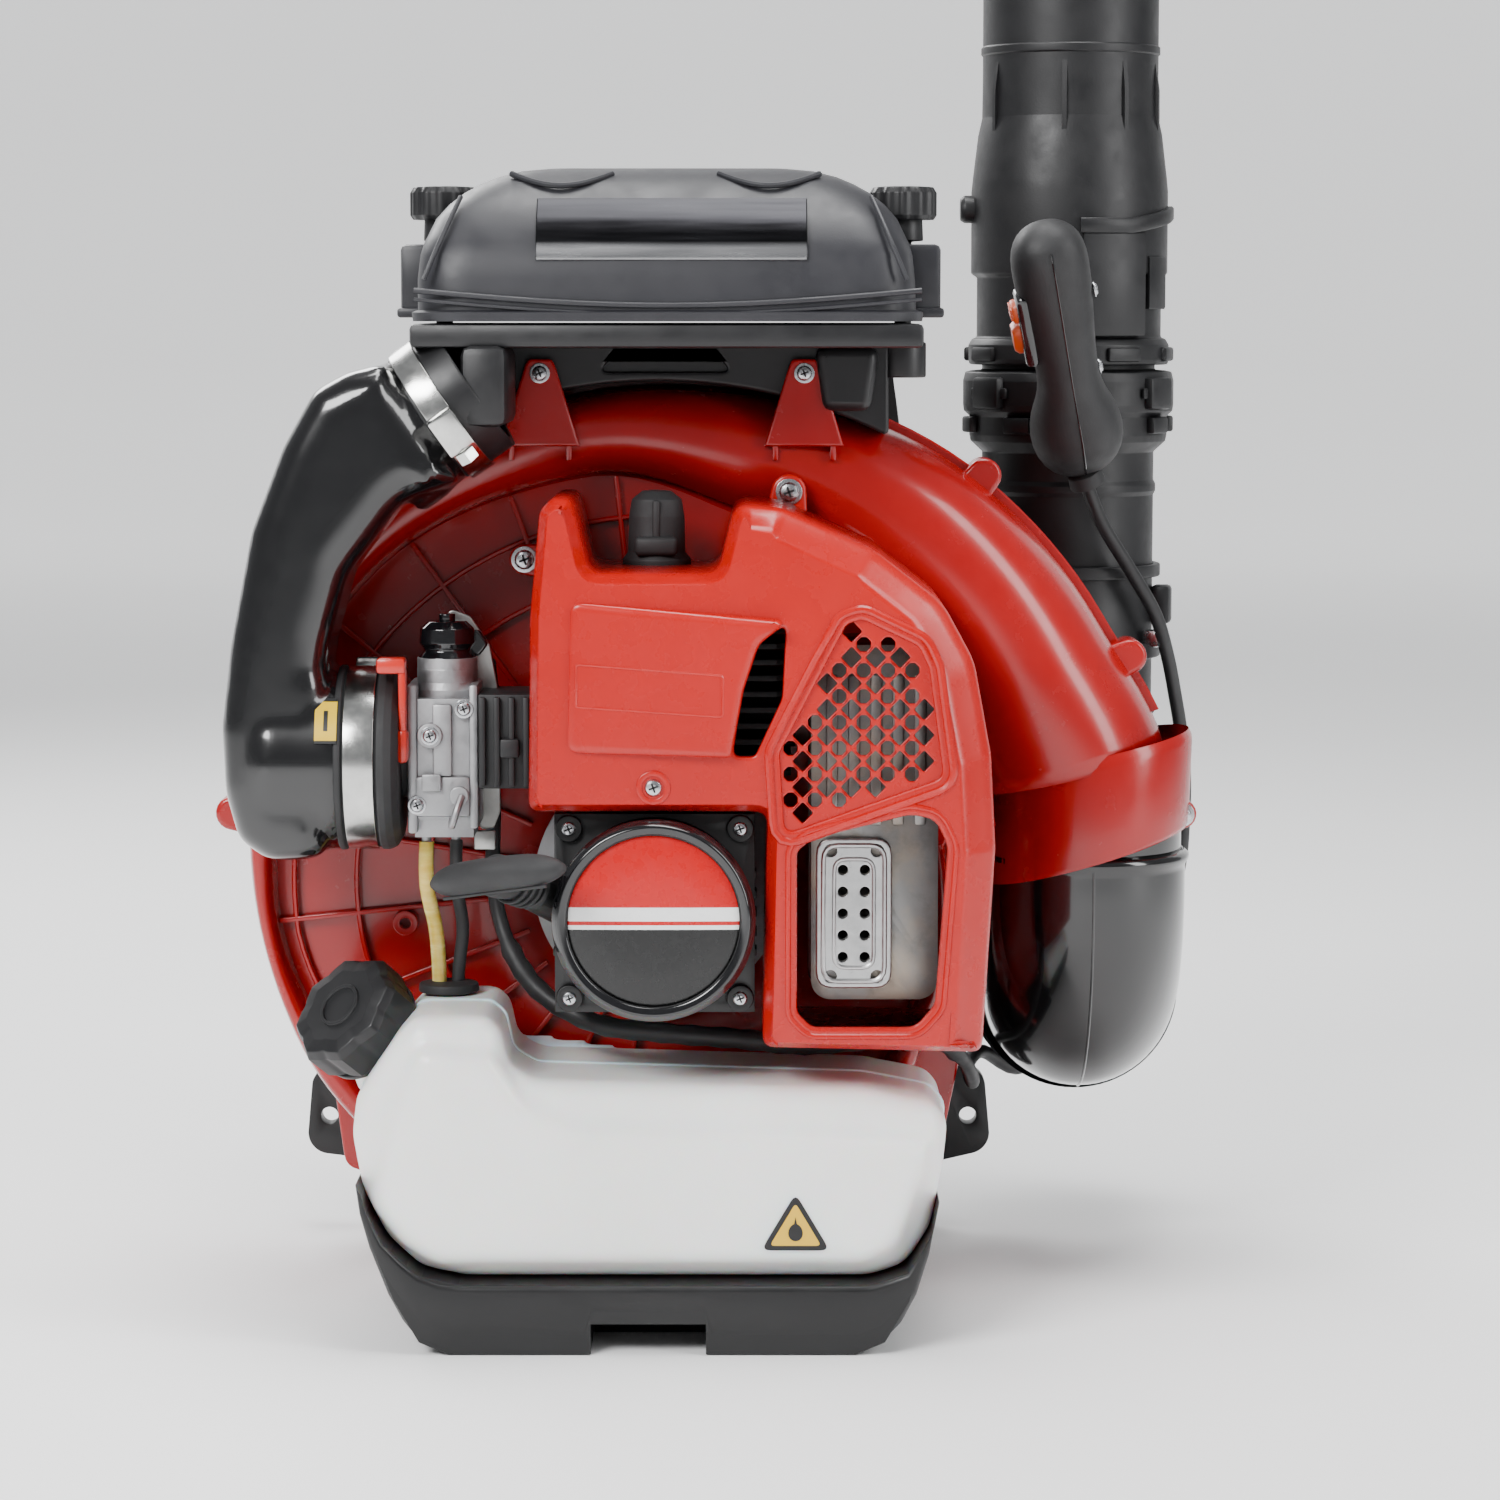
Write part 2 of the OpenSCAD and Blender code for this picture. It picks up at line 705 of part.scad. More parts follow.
module knob(x)
  color(black) {
    difference() {
      zcyl(knob_r, tray_z + 44, tray_z + 57, x, knob_y);
      for (a = [0 : 30 : 330])
        zcyl(1.6, tray_z + 40, tray_z + 60, x + (knob_r + 0.4) * cos(a), knob_y + (knob_r + 0.4) * sin(a));
    }
    zcyl(8, tray_z + 34 + gap, tray_z + 45, x, knob_y);
    zcyl(3.6, 400, tray_z + 36, x, knob_y);
  }

module filter_element()
  color("beige") difference() {
    box(-78, 88, -62, 66, tray_z + 1, tray_z + 26);
    for (x = [-66 : 20 : 70])
      box(x, x + 8, -56, 60, tray_z, tray_z + 18);
  }

tank_y0 = -114;
module cap_frame()
  aimed(cap_at, cap_dir, [1, 0, 0]) children();

tank_y1 = tank_y0 + tank_depth;
module fuel_tank()
  color("whitesmoke") difference() {
    union() {
      difference() {
        slab(tank_y0, tank_y1) polygon(tank_outline);
        cap_frame() cylinder(r = 27, h = 60);
      }
      cap_frame() translate([0, 0, -8]) cylinder(r = 17, h = 18);
    }
    difference() {
      slab(tank_y0 + 3, tank_y1 - 3) offset(delta = -3) polygon(tank_outline);
      cap_frame() translate([0, 0, -3]) cylinder(r = 30, h = 60);
    }
    cap_frame() translate([0, 0, -16]) cylinder(r = 14, h = 40);
    zcyl(10, 130, 140, -88, -43);
  }

module fuel_cap()
  color(black) cap_frame() {
    difference() {
      translate([0, 0, 4]) cylinder(r = 24, h = 20, $fn = 8);
      translate([0, 0, 3]) cylinder(r = 17.4, h = 9.8);
    }
    translate([0, 0, -4]) cylinder(r = 13.5, h = 21);
  }

module cap_gasket()
  color("#5a5a5c") cap_frame() difference() {
    translate([0, 0, 10.2]) cylinder(r = 17, h = 2.4);
    translate([0, 0, 9]) cylinder(r = 13.55, h = 5);
  }

module tank_grommet()
  color(black) difference() {
    union() {
      zcyl(12, 137, 140.5, -88, -43);
      zcyl(9.8, 131, 138, -88, -43);
    }
    zcyl(3.2, 125, 145, -92, -44);
    zcyl(3.2, 125, 145, -84, -42);
  }

// ---- frame and harness
module back_frame()
  color("#26262a") difference() {
    union() {
      slab(126, 134) polygon(frame_outline);
      for (p = mount_spots)
        ycyl(17, 122, 127, p[0], p[1]);
      for (x = [-96, -32, 26, 90])
        box(x, x + 6, 122.5, 127, 16, 380);
      difference() {
        slab(-118, -9) polygon([
          [-84, 0], [-96, 5], [-106, 22], [-117, 50], [-121, 72], [-114, 76], [112, 76],
          [116, 72], [112, 50], [104, 22], [94, 5], [82, 0]
        ]);
        slab(-120, -5) offset(delta = 0.6) polygon(tank_outline);
        box(-90, 90, -120, -5, 60, 90);
      }
      slab(-10, 128) polygon([[-96, 0], [-104, 8], [-104, 20], [104, 20], [104, 8], [96, 0]]);
      for (s = [-1, 1])
        hull() {
          box(s * 118 - 6, s * 118 + 6, 124, 134, 30, 78);
          ycyl(10, 124, 134, ear_x + s * ear_dx, 44);
          ycyl(8, 124, 134, ear_x + s * ear_dx, 66);
        }
    }
    box(-26, 21, -125, -80, -1, 12.5);
    slab(110, 140) polygon([
      [-carry_slot_w / 2, 384], [carry_slot_w / 2, 384], [carry_slot_w / 2 - 6, 402], [6 - carry_slot_w / 2, 402]
    ]);
    for (x = [-92, -46, 6, 52])
      for (y = [-72, 6, 66])
        box(x, x + 40, y, y + 52, -1, 16);
    for (s = [-1, 1])
      ycyl(belt_hole_r, 100, 140, ear_x + s * ear_dx, 52);
  }

module vibration_mounts()
  color("#222222")
    for (p = mount_spots)
      ycyl(13, scroll_y1, 122, p[0], p[1]);

module back_pad()
  color("#303034") hull() {
    for (x = [-78, 78])
      for (z = [132, 366])
        ycyl(16, 134, 156, x, z);
  }

module strap(side)
  color("#2b2b2e") mirror([side, 0, 0]) band(strap_path, strap_half_w, strap_half_t);

module strap_buckles()
  color(black)
    for (s = [-1, 1]) {
      hull() {
        for (z = [44, 58])
          ycyl(4, 134.2, 139, s * 112, z);
        for (z = [44, 58])
          ycyl(4, 134.2, 139, s * 124, z);
      }
      box(s * 68 - 24, s * 68 + 24, 134.2, 142, 388, 396);
    }

// ---- pipe, hose and handle
module elbow()
  color(black) {
    zring(outlet_r - 2.8, outlet_r - 5.8, outlet_z - 4, outlet_top - 8, outlet_x, part_y);
    difference() {
      zcyl(elbow_r, elbow_top, outlet_z - gap, outlet_x, part_y);
      zcyl(elbow_r - wall, elbow_top - 1, outlet_z, outlet_x, part_y);
    }
    bend(part_y + elbow_bend, elbow_top, elbow_bend, elbow_r, elbow_r - wall, 180, 270);
    yring(elbow_r, elbow_r - wall, part_y + elbow_bend, collar_y - 1, outlet_x, hose_z);
  }

module hose_lower()
  color("#1a1a1a") {
    yring(hose_out - 1, elbow_r + 0.2, 101.5, collar_y, outlet_x, hose_z);
    bend(collar_y, hose_cz, hose_r, hose_out, hose_in, 270, 314);
  }

module hose_ring()
  color(black) bend(collar_y, hose_cz, hose_r, hose_out + 2.5, hose_out + 0.4, 311, 319);

module hose_upper()
  color("#1a1a1a") {
    bend(collar_y, hose_cz, hose_r, hose_out, hose_in, 316, 360);
    zring(hose_out - 1, pipe_r + 0.2, hose_cz, 206, outlet_x, pipe_y);
  }

module hose_clamps()
  color("silver") zring(hose_out + 1, hose_out - 0.9, 193, 203, outlet_x, pipe_y);

module lower_pipe()
  color("#2a2a2d") {
    zring(pipe_r, pipe_r - pipe_wall, 178, 432, outlet_x, pipe_y);
    difference() {
      union() {
        zcyl(46, 364, 376, outlet_x, pipe_y);
        zcyl(49, 376, 395, outlet_x, pipe_y);
        box(outlet_x - 12, outlet_x + 12, pipe_y - 58, pipe_y - 40, 366, 393);
      }
      zcyl(pipe_r - 0.5, 360, 400, outlet_x, pipe_y);
    }
    difference() {
      zcyl(44, 262, 270, outlet_x, pipe_y);
      zcyl(pipe_r - 0.5, 260, 272, outlet_x, pipe_y);
    }
  }

nozzle_straight = 620;
tip_len = 40;
module nozzle()
  color("#2a2a2d") difference() {
    union() {
      zcyl(46.5, joint_z, joint_z + 12, outlet_x, pipe_y);
      zcyl(pipe_r + 2.6, joint_z + 11, 440, outlet_x, pipe_y);
      zcyl(45.5, 438, 478, outlet_x, pipe_y);
      translate([outlet_x, pipe_y, 477.9]) cylinder(r1 = 45.5, r2 = 41.5, h = 34);
      zcyl(pipe_r + 0.6, 500, nozzle_straight, outlet_x, pipe_y);
      translate([outlet_x, pipe_y, nozzle_straight - eps])
        cylinder(r1 = pipe_r + 0.6, r2 = nozzle_mouth_r, h = nozzle_top - tip_len - nozzle_straight + eps);
      zcyl(nozzle_mouth_r, nozzle_top - tip_len - eps, nozzle_top, outlet_x, pipe_y);
      xcyl(6, outlet_x - 50, outlet_x - 40, pipe_y, 470);
    }
    zcyl(pipe_r + 0.4, joint_z - 1, 436, outlet_x, pipe_y);
    zcyl(pipe_r - 1.6, 430, nozzle_straight, outlet_x, pipe_y);
    translate([outlet_x, pipe_y, nozzle_straight - 2 * eps])
      cylinder(r1 = pipe_r - 1.6, r2 = nozzle_mouth_r - pipe_wall, h = nozzle_top - tip_len - nozzle_straight + 4 * eps);
    zcyl(nozzle_mouth_r - pipe_wall, nozzle_top - tip_len - 1, nozzle_top + 1, outlet_x, pipe_y);
  }

module grip_frame()
  translate(grip_at) rotate([0, grip_lean, 0]) rotate([grip_tilt, 0, 0]) children();

module handle_shells()
  color("#2e2e31") difference() {
    grip_frame() {
      hull() {
        translate([0, 0, 0]) sphere(r = 21, $fn = 32);
        translate([0, 6, -10]) sphere(r = 17, $fn = 32);
      }
      hull() {
        translate([0, -2, 14]) sphere(r = 14, $fn = 32);
        translate([0, 0, 84]) sphere(r = 17, $fn = 32);
        translate([0, 2, 62]) sphere(r = 18, $fn = 32);
      }
    }
    box(outlet_x - 12.5, outlet_x + 12.5, pipe_y - 59, pipe_y, 340, 420);
    zcyl(50, 330, 430, outlet_x, pipe_y);
    grip_frame() {
      box(-6.5, 6.5, 4, 40, 34, 96);
      xcyl(2.6, -12, 12, 9, 86);
      box(-30, -9, -8, 10, 38, 70);
    }
    translate([192, 112, 344]) sphere(r = 6);
  }

module trigger()
  color(black) grip_frame() {
    hull() {
      xcyl(5, -5.5, 5.5, 11, 86);
      xcyl(3, -5.5, 5.5, 20, 74);
      xcyl(3, -5.5, 5.5, 26, 46);
      xcyl(3, -5.5, 5.5, 20, 44);
    }
    xcyl(2.5, -11, 11, 9, 86);
  }

module stop_switch()
  color("orangered") grip_frame() {
    box(-20, -14, -4, 6, 58, 66);
    box(-15, -11.5, -2, 4, 60, 64);
  }

module cruise_lever()
  color("orangered") grip_frame() {
    hull() {
      xcyl(5, -17, -13, 1, 50);
      xcyl(3, -21, -13, 1, 44);
    }
    xcyl(2, -15, -9.3, 1, 50);
  }

module throttle_cable()
  color(black) tube(smooth(cable_route, 2), 3.2, [0.3, 0.5, 0.1]);

module body_screws()
  color("silver")
    for (p = tab_holes) {
      ycyl(4, -11, scroll_y0 - 0.02, p[0], p[1]);
      ycyl(2, -8.1, 10, p[0], p[1]);
    }

back_frame();
back_pad();
strap(1);  // strap_left
strap(0);  // strap_right
strap_buckles();
vibration_mounts();
volute_front();
volute_rear();
intake_grille();
crankcase();
cylinder_block();  // cylinder
piston();
connecting_rod();
crank_bearings();
ignition_coil();
spark_plug();
plug_boot();
muffler();
muffler_plate();
engine_cover();
starter_housing();
starter_badge();
recoil_spring();
intake_manifold();
carburettor();
intake_duct();
intake_boot();
intake_clamps();
cleaner_base();
filter_element();
fuel_tank();
tank_grommet();
color("gold") tube(smooth(fuel_route, 2), 3, [1, 0.2, 0]);  // fuel_line
color(black) tube(smooth(return_route, 2), 2.5, [1, 0.2, 0]);  // return_line
body_screws();
crankshaft();
flywheel();
fan();
starter_cup();
starter_reel();
starter_handle();
choke_lever();
throttle_arm();
cleaner_cover();
knob(knob_xs[0]);  // knob_left
knob(knob_xs[1]);  // knob_right
cap_gasket();
fuel_cap();
elbow();
hose_lower();
hose_ring();
hose_upper();
hose_clamps();
lower_pipe();
handle_shells();
trigger();
stop_switch();
cruise_lever();
nozzle();
throttle_cable();
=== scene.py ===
import math

import bmesh
import bpy
from mathutils import Matrix, Vector
from mathutils.geometry import tessellate_polygon
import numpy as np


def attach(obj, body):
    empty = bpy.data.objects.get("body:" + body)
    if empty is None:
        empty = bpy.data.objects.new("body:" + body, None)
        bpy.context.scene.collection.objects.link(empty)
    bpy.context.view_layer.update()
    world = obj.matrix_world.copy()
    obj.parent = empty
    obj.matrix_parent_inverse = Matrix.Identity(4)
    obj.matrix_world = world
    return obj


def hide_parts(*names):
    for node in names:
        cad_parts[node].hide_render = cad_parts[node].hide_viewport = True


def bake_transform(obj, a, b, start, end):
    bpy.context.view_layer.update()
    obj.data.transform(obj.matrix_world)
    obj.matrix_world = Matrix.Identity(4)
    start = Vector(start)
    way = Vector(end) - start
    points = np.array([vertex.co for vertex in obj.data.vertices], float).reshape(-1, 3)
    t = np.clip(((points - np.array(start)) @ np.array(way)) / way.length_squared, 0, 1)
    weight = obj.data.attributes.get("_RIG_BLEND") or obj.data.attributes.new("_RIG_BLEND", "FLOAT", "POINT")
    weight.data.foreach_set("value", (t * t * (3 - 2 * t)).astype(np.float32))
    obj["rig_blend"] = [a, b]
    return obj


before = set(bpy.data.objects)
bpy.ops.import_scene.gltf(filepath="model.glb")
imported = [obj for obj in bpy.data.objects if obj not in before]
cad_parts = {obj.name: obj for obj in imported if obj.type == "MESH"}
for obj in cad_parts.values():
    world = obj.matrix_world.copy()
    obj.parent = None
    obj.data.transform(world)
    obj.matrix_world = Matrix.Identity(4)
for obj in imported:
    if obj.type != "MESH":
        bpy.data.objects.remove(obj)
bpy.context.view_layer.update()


# ---- Back frame
# The carrying frame is one moulding of black filled polypropylene: a back plate with ribs and a tray
# that the tank sits in. The tray's front is a separate skin here, so that its lip and its heel are
# rounded as the real mould leaves them. Sizes in this file are in millimetres until new_piece.

class Wire:
    """One socket in a material. Arithmetic on it adds Math nodes."""

    def __init__(self, paint, socket):
        self.paint = paint
        self.socket = socket

    def maths(self, operation, first, second):
        return self.paint.node("ShaderNodeMath", {"operation": operation}, {0: first, 1: second})

    def __sub__(self, other):
        return self.maths("SUBTRACT", self, other)

    def __rsub__(self, other):
        return self.maths("SUBTRACT", other, self)

    def __mul__(self, other):
        return self.maths("MULTIPLY", self, other)

    def __rmul__(self, other):
        return self.maths("MULTIPLY", other, self)

    def __gt__(self, other):
        return self.maths("GREATER_THAN", self, other)

    def __lt__(self, other):
        return self.maths("LESS_THAN", self, other)


class Paint:
    """A material with one Principled shader, and one method that adds any other node."""

    def __init__(self, name, **constants):
        self.material = bpy.data.materials.new(name)
        self.material.use_nodes = True
        self.tree = self.material.node_tree
        self.shader = self.tree.nodes["Principled BSDF"]
        for label, value in constants.items():
            self.shader.inputs[label.replace("_", " ")].default_value = value

    def node(self, kind, settings=None, sockets=None, out=0):
        made = self.tree.nodes.new(kind)
        for label, value in (settings or {}).items():
            setattr(made, label, value)
        for label, value in (sockets or {}).items():
            if isinstance(value, Wire):
                self.tree.links.new(value.socket, made.inputs[label])
            else:
                made.inputs[label].default_value = value
        return Wire(self, made.outputs[out])

    def feed(self, label, wire):
        self.tree.links.new(wire.socket, self.shader.inputs[label])

    def place(self, stretch=(1, 1, 1)):
        """Where a point is on the object, in metres, stretched along each axis."""
        spot = self.node("ShaderNodeTexCoord", out="Object")
        return self.node("ShaderNodeMapping", sockets={"Vector": spot, "Scale": stretch})

    def along(self, axis):
        """How far a point is along X, Y or Z, in metres."""
        spot = self.node("ShaderNodeTexCoord", out="Object")
        return self.node("ShaderNodeSeparateXYZ", sockets={"Vector": spot}, out=axis)

    def noise(self, scale, stretch=(1, 1, 1), detail=3.0, rough=0.5):
        return self.node("ShaderNodeTexNoise", sockets={
            "Vector": self.place(stretch), "Scale": scale, "Detail": detail, "Roughness": rough})

    def mix(self, amount, first, second):
        """The first colour where amount is 0 and the second where it is 1."""
        made = self.tree.nodes.new("ShaderNodeMix")
        made.data_type = "RGBA"
        for index, value in ((0, amount), (6, first), (7, second)):
            if isinstance(value, Wire):
                self.tree.links.new(value.socket, made.inputs[index])
            else:
                made.inputs[index].default_value = value if index == 0 else (*value, 1)
        return Wire(self, made.outputs[2])

    def ranged(self, value, low, high, out_low=0.0, out_high=1.0):
        return self.node("ShaderNodeMapRange", sockets={
            "Value": value, "From Min": low, "From Max": high, "To Min": out_low, "To Max": out_high})

    def bump(self, height, depth, strength=1.0, under=None):
        sockets = {"Height": height, "Distance": depth, "Strength": strength}
        if under is not None:
            sockets["Normal"] = under
        return self.node("ShaderNodeBump", sockets=sockets)


def moulded(name, colour, rough, grain=0.00004, grain_size=1500, worn=0.25, coat=0.0, flow_size=18):
    """Injection-moulded plastic: fine mould grain, faint flow marks, handled edges a little brighter."""
    paint = Paint(name, IOR=1.48, Coat_Weight=coat, Coat_Roughness=0.06)
    flow = paint.noise(flow_size, detail=4)
    smudge = paint.noise(70, detail=5, rough=0.6)
    dark = tuple(c * 0.92 for c in colour)
    light = tuple(min(1, c * 1.07 + 0.0005) for c in colour)
    rubbed = tuple(min(1, c * 1.3 + 0.01) for c in colour)
    edge = paint.ranged(paint.node("ShaderNodeNewGeometry", out="Pointiness"), 0.51, 0.57)
    body = paint.mix(paint.ranged(flow, 0.3, 0.7), dark, light)
    scuffs = edge * paint.ranged(smudge, 0.4, 0.65) * worn
    paint.feed("Base Color", paint.mix(scuffs, body, rubbed))
    paint.feed("Roughness", paint.ranged(smudge, 0.25, 0.75, rough * 0.8, min(1, rough * 1.25)))
    paint.feed("Normal", paint.bump(paint.noise(grain_size, detail=2), grain, 0.6,
                                    paint.bump(flow, 0.0005, 0.1)))
    return paint.material


def new_piece(name, points, faces):
    mesh = bpy.data.meshes.new(name)
    mesh.from_pydata([tuple(Vector(p) * 0.001) for p in points], [], faces)
    mesh.validate()
    work = bmesh.new()
    work.from_mesh(mesh)
    bmesh.ops.recalc_face_normals(work, faces=work.faces)
    work.to_mesh(mesh)
    work.free()
    piece = bpy.data.objects.new(name, mesh)
    bpy.context.scene.collection.objects.link(piece)
    return piece


def fit(piece, material, slot, body, *nodes, sharp=35):
    """Gives a piece its finish and its place on a body, in place of the CAD nodes named."""
    piece.data.materials.clear()
    piece.data.materials.append(material)
    piece.data.shade_smooth()
    piece.data.set_sharp_from_angle(angle=math.radians(sharp))
    if body:
        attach(piece, body)
    if nodes:
        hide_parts(*nodes)
    return piece


def softened(node, width, material, slot, body, segments=2):
    """The CAD node's own shape with its hard edges rounded off, as a mould would leave them."""
    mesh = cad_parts[node].data.copy()
    mesh.name = node + "_soft"
    work = bmesh.new()
    work.from_mesh(mesh)
    bmesh.ops.remove_doubles(work, verts=work.verts, dist=0.00002)
    bmesh.ops.dissolve_limit(work, angle_limit=math.radians(1.5), verts=work.verts, edges=work.edges)
    hard = [e for e in work.edges if len(e.link_faces) == 2 and e.calc_face_angle(0) > math.radians(32)]
    bmesh.ops.bevel(work, geom=hard, offset=width * 0.001, segments=segments, profile=0.5,
                    affect="EDGES", clamp_overlap=True)
    work.to_mesh(mesh)
    work.free()
    piece = bpy.data.objects.new(node + "_soft", mesh)
    bpy.context.scene.collection.objects.link(piece)
    return fit(piece, material, slot, body, node)


def loft(name, loops, cap=True, wrap=False):
    """A skin through loops of equal length; wrap joins the last loop to the first."""
    n = len(loops[0])
    points = [p for loop in loops for p in loop]
    faces = []
    for i in range(len(loops) if wrap else len(loops) - 1):
        low, high = i * n, (i + 1) % len(loops) * n
        faces += [(low + k, low + (k + 1) % n, high + (k + 1) % n, high + k) for k in range(n)]
    if cap and not wrap:
        faces += [tuple(range(n)), tuple(range(len(points) - n, len(points)))]
    return new_piece(name, points, faces)


def rounded(outline, radius, steps=4):
    """The outline with every corner turned into an arc; radius is one size or one per corner."""
    made = []
    for i, corner in enumerate(outline):
        size = radius[i] if isinstance(radius, (list, tuple)) else radius
        here = Vector(corner)
        back = Vector(outline[i - 1]) - here
        ahead = Vector(outline[(i + 1) % len(outline)]) - here
        half = back.angle(ahead) / 2
        if size <= 0 or half > math.radians(87):
            made.append(here)
            continue
        cut = min(size / math.tan(half), 0.45 * back.length, 0.45 * ahead.length)
        first, last = here + back.normalized() * cut, here + ahead.normalized() * cut
        for k in range(steps + 1):
            t = k / steps
            made.append((1 - t) ** 2 * first + 2 * t * (1 - t) * here + t * t * last)
    return made


def inset(outline, distance):
    """The outline, which runs anticlockwise, moved inwards; distance may depend on the normal and place."""
    made = []
    for i, here in enumerate(outline):
        before = (here - outline[i - 1]).normalized()
        after = (outline[(i + 1) % len(outline)] - here).normalized()
        first, second = Vector((-before.y, before.x)), Vector((-after.y, after.x))
        amount = distance(-(first + second).normalized(), here) if callable(distance) else distance
        made.append(here + (first + second) * (amount / max(0.5, 1 + first.dot(second))))
    return made


def anticlockwise(outline):
    area = sum(outline[i - 1].x * p.y - p.x * outline[i - 1].y for i, p in enumerate(outline))
    return outline if area > 0 else outline[::-1]


def arc_profile(edge, depth=None, steps=4):
    """Insets and depths along a quarter round, with a narrow flat at each end."""
    depth = depth or edge
    turn = [math.pi / 2 * k / steps for k in range(steps + 1)]
    return [(edge * (1 - math.cos(t)), depth * (1 - math.sin(t))) for t in turn]


def plate(name, outline, front, back, edge, holes=(), hole_edge=0.6, back_edge=0.0, width=None,
          profile=None):
    """A slab with its outline in x and z: rounded at the front, and at the back if back_edge is given.
    With no back_edge the slab is an open shell. width scales the front round from place to place, and
    profile gives its insets and depths."""
    outline = anticlockwise(outline)
    scale = width or (lambda normal, spot: 1.0)
    rim = [(s, front + d) for s, d in profile or arc_profile(edge)]
    walls = [(s, back - d) for s, d in arc_profile(back_edge)][::-1] if back_edge else [(0, back)]
    stations = walls + rim
    loops = [[(p.x, y, p.y) for p in inset(outline, lambda n, q, s=s: s * scale(n, q))] for s,
             y in stations]
    points = [p for loop in loops for p in loop]
    n = len(outline)
    faces = [(i * n + k, i * n + (k + 1) % n, (i + 1) * n + (k + 1) % n, (i + 1) * n + k)
             for i in range(len(loops) - 1) for k in range(n)]
    lip = inset(outline, lambda n, q: edge * scale(n, q) + 0.3)
    rings = [[Vector((p.x, p.y, 0)) for p in lip]]
    spots = [list(range(len(points), len(points) + n))]
    points += [(p.x, front, p.y) for p in lip]
    base = (len(loops) - 1) * n
    faces += [(base + k, base + (k + 1) % n, spots[0][(k + 1) % n], spots[0][k]) for k in range(n)]
    for hole in holes:
        hole = anticlockwise(hole)
        m = len(hole)
        steps = [(-hole_edge - 0.2, front), (-hole_edge, front),
                 (-0.3 * hole_edge, front + 0.3 * hole_edge),
                 (0, front + hole_edge), (0, front + hole_edge + 1.6)]
        start = len(points)
        for s, y in steps:
            points += [(p.x, y, p.y) for p in inset(hole, s)]
        faces += [(start + i * m + k, start + i * m + (k + 1) % m, start + (i + 1) * m + (k + 1) % m,
                   start + (i + 1) * m + k) for i in range(len(steps) - 1) for k in range(m)]
        rings.append([Vector((p.x, p.y, 0)) for p in inset(hole, -hole_edge - 0.2)])
        spots.append(list(range(start, start + m)))
    flat = [spot for ring in spots for spot in ring]
    faces += [tuple(flat[i] for i in triple) for triple in tessellate_polygon(rings)]
    if back_edge:
        faces.append(tuple(range(n)))
    return new_piece(name, points, faces)


def thickened(piece, thickness):
    """Gives an open shell its wall thickness, measured inwards."""
    shell = piece.modifiers.new("wall", "SOLIDIFY")
    shell.thickness = thickness * 0.001
    shell.offset = -1
    return piece


def merged(name, *pieces):
    """One piece made of several, which are used up."""
    work = bmesh.new()
    for piece in pieces:
        work.from_mesh(piece.data)
        bpy.data.objects.remove(piece)
    mesh = bpy.data.meshes.new(name)
    work.to_mesh(mesh)
    work.free()
    made = bpy.data.objects.new(name, mesh)
    bpy.context.scene.collection.objects.link(made)
    return made


def block(name, low, high, edge=0.8, where=None):
    """A box with rounded edges, from one corner to the other."""
    x0, y0, z0, x1, y1, z1 = *low, *high
    corners = [(x, y, z) for x in (x0, x1) for y in (y0, y1) for z in (z0, z1)]
    piece = new_piece(name, corners, [(0, 1, 3, 2), (4, 6, 7, 5), (0, 4, 5, 1), (2, 3, 7, 6), (0, 2, 6, 4),
                                      (1, 5, 7, 3)])
    work = bmesh.new()
    work.from_mesh(piece.data)
    bmesh.ops.bevel(work, geom=work.edges[:], offset=edge * 0.001, segments=2, profile=0.5,
                    affect="EDGES", clamp_overlap=True)
    work.to_mesh(piece.data)
    work.free()
    if where is not None:
        move(piece, where)
    return piece


def move(piece, where):
    """Puts a piece made about the origin where it belongs; where is a matrix in millimetres."""
    piece.data.transform(Matrix.Translation(where.translation * 0.001) @ where.to_3x3().to_4x4())
    return piece


def aimed(at, along, side=(1, 0, 0)):
    """A place whose local Z runs along a direction, with local X near side."""
    z = Vector(along).normalized()
    y = z.cross(Vector(side)).normalized()
    return Matrix.Translation(Vector(at)) @ Matrix((y.cross(z), y, z)).transposed().to_4x4()


def turned(name, profile, where, sides=64, soft=0.6, closed=True, ripple=None):
    """A turned piece from radius and height pairs. A closed profile is a ring; ripple varies the radius."""
    path = rounded(profile, soft, 3) if soft else [Vector(p) for p in profile]
    if not closed:
        path = [Vector(profile[0])] + path[4 if soft else 1:-4 if soft else -1] + [Vector(profile[-1])]
    loops = []
    for k in range(sides):
        turn = 2 * math.pi * k / sides
        stretch = ripple(turn) if ripple else 1.0
        loops.append([where @ Vector((p.x * stretch * math.cos(turn), p.x * stretch * math.sin(turn), p.y))
                      for p in path])
    if closed:
        return loft(name, loops, wrap=True)
    n = len(path)
    points = [p for loop in loops for p in loop]
    faces = [(k * n + i, (k + 1) % sides * n + i, (k + 1) % sides * n + i + 1, k * n + i + 1)
             for k in range(sides) for i in range(n - 1)]
    faces += [tuple(k * n + end for k in range(sides)) for end in (0, n - 1) if path[end].x > 0.05]
    piece = new_piece(name, points, faces)
    work = bmesh.new()
    work.from_mesh(piece.data)
    bmesh.ops.remove_doubles(work, verts=work.verts, dist=0.00001)
    work.to_mesh(piece.data)
    work.free()
    return piece


def smoothed(route, parts=4):
    """A route with points added on a smooth curve between its own."""
    spots = [Vector(p) for p in route]
    made = []
    for i in range(len(spots) - 1):
        a, b, c, d = spots[max(i - 1, 0)], spots[i], spots[i + 1], spots[min(i + 2, len(spots) - 1)]
        for k in range(parts):
            t = k / parts
            made.append(0.5 * (2 * b + (c - a) * t + (2 * a - 5 * b + 4 * c - d) * t * t
                               + (3 * b - a - 3 * c + d) * t ** 3))
    return made + [spots[-1]]


